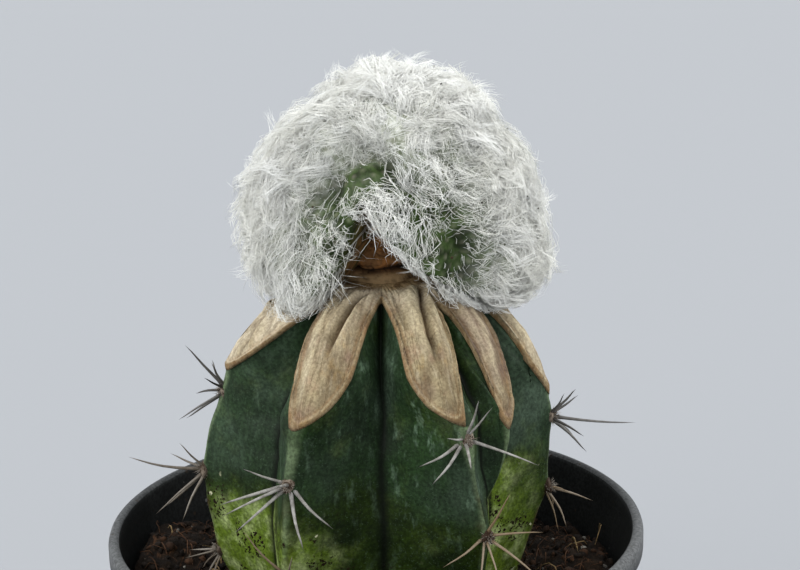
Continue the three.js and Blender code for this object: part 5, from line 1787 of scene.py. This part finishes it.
class CACTUS_OT_wool(bpy.types.Operator):
    """Combs the white hair over the crest, tuft by tuft, as it falls on the real one"""

    bl_idname = "cactus.wool"
    bl_label = "White wool"

    def execute(self, context):
        settings = context.scene.cactus_wool
        rng = np.random.default_rng(settings.seed)
        paths, tint = self.paths(settings, rng)
        width = settings.width / MM / 2 * rng.uniform(0.55, 1.15, (len(paths), 1))
        radii = width * np.array(WOOL["radii"])
        material = wool_finish(settings)
        order = np.argsort(np.arctan2(paths[:, 0, 0] - CREST["centre"][0], -paths[:, 0, 1]))
        for i, chosen in enumerate(np.array_split(order, WOOL["pieces"])):
            piece, each = strands(f"wool_{i + 1}", paths[chosen], radii[chosen], WOOL["sides"])
            paint(piece, "tint", np.repeat(tint[chosen], each))
            finish_piece(piece, material, "crest_wool")
        self.debris(np.random.default_rng(settings.seed + 1))
        return {"FINISHED"}

    def debris(self, rng):
        """Specks of peat caught in the hair."""
        d = unit(rng.normal(0, 1, (DEBRIS["count"], 3)))
        d = d[closed_share(d) > 0.98]
        places = np.array(CREST["centre"]) + d * (envelope(d) - DEBRIS["sunk"])[:, None]
        select_none()
        specks = []
        for place, size in zip(places, rng.uniform(0.5, 1.0, len(places)) * DEBRIS["size"]):
            bpy.ops.mesh.primitive_ico_sphere_add(subdivisions=2, radius=size * MM)
            speck = bpy.context.object
            p = points_of(speck)
            move_points(speck, p * (1 + 0.9 * noise(p + place, 0.3, 140)[:, None]) + place)
            specks.append(speck)
        finish = felt_finish("peat_specks", (0.012, 0.008, 0.005), (0.05, 0.035, 0.02))
        finish_piece(joined(specks, "hair_debris"), finish, "crest_wool")

    def paths(self, settings, rng):
        """Four points along every hair, and a shade for each: every tuft parts into a few wisps."""
        # tufts: where they stand, how much hair each has and the way that it falls
        d = even_directions(settings.tufts)
        d = unit(d + rng.normal(0, TUFTS["stray"], d.shape))
        d = d[closed_share(d) > TUFTS["closed"]]
        tufts, wisps, thick = len(d), WOOL["wisps"], CREST["flesh"]
        bare = bare_share(d)
        facing = sparse_share(d) * (1 - 0.25 * spot(d, (-0.45, -0.85, -0.3), 0.4))
        rim = (1 - ramp(closed_share(d), 0.4, 0.7)) * ramp(d[:, 2], -0.75, -0.6)
        amount = mix(TUFTS["sides"], TUFTS["front"], facing) * mix(1.0, TUFTS["bare"], bare)
        amount = amount * mix(1.0, TUFTS["rim"], rim) * rng.uniform(*TUFTS["vary"], tufts)
        which = np.repeat(np.arange(tufts), np.round(settings.hairs * amount).astype(int))
        count = len(which)
        wisp = which * wisps + rng.integers(0, wisps, count)
        tuft_of = np.repeat(np.arange(tufts), wisps)

        off = turned_off(np.arctan2(d[:, 0], -d[:, 1]), math.radians(ARCHES[0][0]))
        over = (1 - ramp(closed_share(d), *FRINGE["closed"])) * ramp(-off, *FRINGE["beside"])
        over = over * (off > -FRINGE["furthest"]) * ramp(d[:, 2], *FRINGE["low"])
        normal = unit(mix(crest_normal(d, thick), d, over[:, None]))
        fall = combed(d) + over[:, None] * np.array(FRINGE["pull"])
        fall -= normal * np.sum(fall * normal, axis=-1, keepdims=True)
        pull = np.clip(np.linalg.norm(fall, axis=-1), 0, 1)
        fall = unit(fall)
        aside = np.cross(normal, fall)

        (turn_by, turn_size), (high_by, high_size) = LOCKS["turn"], LOCKS["high"]
        at = d * WOOL["scale"]
        lock_turn = turn_by * noise(at, turn_size, 100, 2) + rng.normal(0, LOCKS["turn_vary"], tufts)
        lock_turn += rng.normal(0, 1, tufts) * mix(LOCKS["uncombed"], 0.0, pull)
        lock_high = LOCKS["mean"] + high_by * noise(at, high_size, 105)
        lock_high = np.clip(lock_high + rng.normal(0, LOCKS["high_vary"], tufts), *LOCKS["limits"])

        # wisps: most lie with their lock, some stand and some stray
        size = tufts * wisps
        thin = bare[tuft_of]
        stray = rng.uniform(0, 1, size) < mix(*WISPS["stray"], thin)
        upright = rng.uniform(0, 1, size) < mix(*WISPS["upright"], facing[tuft_of])
        turn = lock_turn[tuft_of] + rng.normal(0, WISPS["turn"], size)
        turn = np.where(stray, rng.uniform(-math.pi, math.pi, size), turn)
        length = rng.uniform(*WISPS["length"], size) * np.where(stray, 0.8, 1.0) * mix(1.0, 0.7, thin)
        standing = rng.uniform(*WISPS["standing"], size)
        reach = np.where(upright, standing, rng.uniform(*WISPS["lying"], size))
        high = lock_high[tuft_of] * rng.uniform(*WISPS["high"], size)
        high = np.where(stray, rng.uniform(*WISPS["stray_high"], size), high)
        share_taller, taller = WISPS["taller"]
        tall = rng.uniform(*WISPS["tall"], size)
        tall *= np.where(rng.uniform(0, 1, size) < share_taller, taller, 1.0)
        high = np.where(upright, lock_high[tuft_of] * tall, high) * mix(1.0, 0.55, thin)
        bend = rng.normal(0, WISPS["bend"], (size, 2))

        # hairs: each near its wisp, drawn together towards the tips
        normal, fall, aside, middle = normal[which], fall[which], aside[which], d[which]
        loose = rng.uniform(0, 1, count) < HAIRS["loose"]
        turn = turn[wisp] + rng.normal(0, HAIRS["turn"], count)
        turn += loose * rng.normal(0, HAIRS["loose_turn"], count)
        way = fall * np.cos(turn)[:, None] + aside * np.sin(turn)[:, None]
        cross = np.cross(normal, way)
        length = settings.length / MM * length[wisp] * rng.uniform(*HAIRS["length"], count)
        travel = length * reach[wisp]
        high = thick * high[wisp] * rng.uniform(*HAIRS["high"], count)
        curl = mix(*HAIRS["curl"], stray[wisp].astype(float))[:, None]
        bend = (bend[wisp] + rng.normal(0, 1, (count, 2)) * curl) * length[:, None]
        beside = rng.normal(0, HAIRS["beside"], count)
        root = crest_point(middle, thick) - HAIRS["sunk"] * normal
        root += fall * rng.normal(0, HAIRS["ahead"], (count, 1)) + cross * beside[:, None]
        path = [root]
        centre = np.array(CREST["centre"])
        sways = (bend[:, 0], bend[:, 1], -bend[:, 0] * 0.5)
        for (share, climb, drawn), sway in zip(HAIR_POINTS, sways):
            step = root + way * (travel * share)[:, None] + cross * (sway + drawn * beside)[:, None]
            to = unit(step - centre)
            climb = np.where(upright[wisp], mix(share, climb, 0.3), climb)
            path.append(centre + to * (envelope(to) - thick + high * climb)[:, None])
        path = np.stack(path, axis=1)

        # hairs that would hide the bare band or hang over the arch are shorter
        hidden = np.maximum(*(bare_share(unit(path[:, i] - centre)) for i in (2, 3)))
        short = (1 - 0.85 * hidden) * mix(1.0, rng.uniform(0.3, 0.9, count), over[which])
        path = path[:, :1] + (path - path[:, :1]) * short[:, None, None]
        path = self.out_of_arch(path, rng, np.maximum(rim, over)[which])
        cloud = ramp(noise(middle * WOOL["scale"], 4.0, 120), -0.6, 0.6)
        return cleared(path), rng.uniform(0, 1, count) * 0.6 + 0.4 * cloud

    def out_of_arch(self, path, rng, rim):
        """Draws back most of the hairs that would hang across the hollow over the neck."""
        strict = np.where(rng.uniform(0, 1, len(path)) < mix(0.3, 1.0, rim), *HAIRS["drawn_back"])
        for _ in range(4):
            d = unit(path[:, 1:] - np.array(CREST["centre"]))
            inside = 1 - ramp(closed_share(d), 0.25, 0.75)
            arch = inside.max(axis=1) * ramp(d[:, -1, 2], -0.74, -0.6)
            root = path[:, :1]
            path = root + (path - root) * (1 - strict * arch)[:, None, None]
        return path


# Stage

class CACTUS_OT_stage(bpy.types.Operator):
    """Lays the pale floor, hangs the soft lights and sets the camera as in the photograph"""

    bl_idname = "cactus.stage"
    bl_label = "Floor, light and camera"

    def execute(self, context):
        settings = context.scene.cactus_stage
        scene = context.scene
        select_none()
        bpy.ops.mesh.primitive_plane_add(size=80.0)
        floor = bpy.context.object
        floor.name = floor.data.name = "floor"
        paper = Finish("pale_paper", roughness=0.9, specular=0.1)
        paper.shader.inputs["Base Color"].default_value = rgb(settings.floor)
        floor.data.materials.append(paper.material)
        self.world(scene, settings)
        for name, source, spread, share in LAMPS:
            self.light(name, source, spread, settings.key * share)
        camera = bpy.data.objects.new("camera", bpy.data.cameras.new("camera"))
        camera.data.lens = CAMERA["lens"]
        camera.data.sensor_width = CAMERA["sensor"]
        camera.matrix_world = self.camera_place()
        scene.collection.objects.link(camera)
        scene.camera = camera
        scene.view_settings.view_transform = "Standard"
        return {"FINISHED"}

    def world(self, scene, settings):
        world = bpy.data.worlds.new("soft_room")
        world.use_nodes = True
        background = world.node_tree.nodes["Background"]
        background.inputs["Color"].default_value = SKY
        background.inputs["Strength"].default_value = settings.fill
        scene.world = world

    def light(self, name, source, spread, strength):
        """A soft light from far off, which falls on the floor evenly."""
        light = bpy.data.lights.new(name, "SUN")
        light.angle = math.radians(spread)
        light.energy = strength
        lamp = bpy.data.objects.new(name, light)
        lamp.rotation_euler = Vector(source).to_track_quat("Z", "Y").to_euler()
        bpy.context.scene.collection.objects.link(lamp)

    def camera_place(self):
        down, roll = math.radians(CAMERA["down"]), math.radians(CAMERA["roll"])
        ahead = Vector((0, math.cos(down), -math.sin(down)))
        level_up = Vector((0, math.sin(down), math.cos(down)))
        level_right = Vector((1, 0, 0))
        right = math.cos(roll) * level_right - math.sin(roll) * level_up
        up = math.sin(roll) * level_right + math.cos(roll) * level_up
        place = Matrix((right, up, -ahead)).transposed().to_4x4()
        place.translation = Vector(CAMERA["place"]) * MM
        return place


class CACTUS_PT_panel(bpy.types.Panel):
    """Lists the pieces and their settings"""

    bl_label = "Grafted cactus"
    bl_idname = "CACTUS_PT_panel"
    bl_space_type = "VIEW_3D"
    bl_region_type = "UI"
    bl_category = "Cactus"

    def draw(self, context):
        for cls in OPERATORS:
            self.layout.operator(cls.bl_idname)
        for name, group in SETTINGS.items():
            box = self.layout.box()
            for key in group.__annotations__:
                box.prop(getattr(context.scene, name), key)


SETTINGS = {
    "cactus_pot": CactusPotSettings,
    "cactus_stem": CactusStemSettings,
    "cactus_wool": CactusWoolSettings,
    "cactus_stage": CactusStageSettings,
}
OPERATORS = (
    CACTUS_OT_pot, CACTUS_OT_soil, CACTUS_OT_rootstock, CACTUS_OT_cut_skin, CACTUS_OT_spines,
    CACTUS_OT_union, CACTUS_OT_crest, CACTUS_OT_wool, CACTUS_OT_stage,
)


def register():
    for cls in (*SETTINGS.values(), *OPERATORS, CACTUS_PT_panel):
        bpy.utils.register_class(cls)
    for name, group in SETTINGS.items():
        setattr(bpy.types.Scene, name, bpy.props.PointerProperty(type=group))


def unregister():
    for name in SETTINGS:
        delattr(bpy.types.Scene, name)
    for cls in reversed((*SETTINGS.values(), *OPERATORS, CACTUS_PT_panel)):
        bpy.utils.unregister_class(cls)


def main():
    register()
    bpy.ops.cactus.pot()
    bpy.ops.cactus.soil()
    bpy.ops.cactus.rootstock()
    bpy.ops.cactus.cut_skin()
    bpy.ops.cactus.spines()
    bpy.ops.cactus.union()
    bpy.ops.cactus.crest()
    bpy.ops.cactus.wool()
    bpy.ops.cactus.stage()


if __name__ == "__main__":
    main()
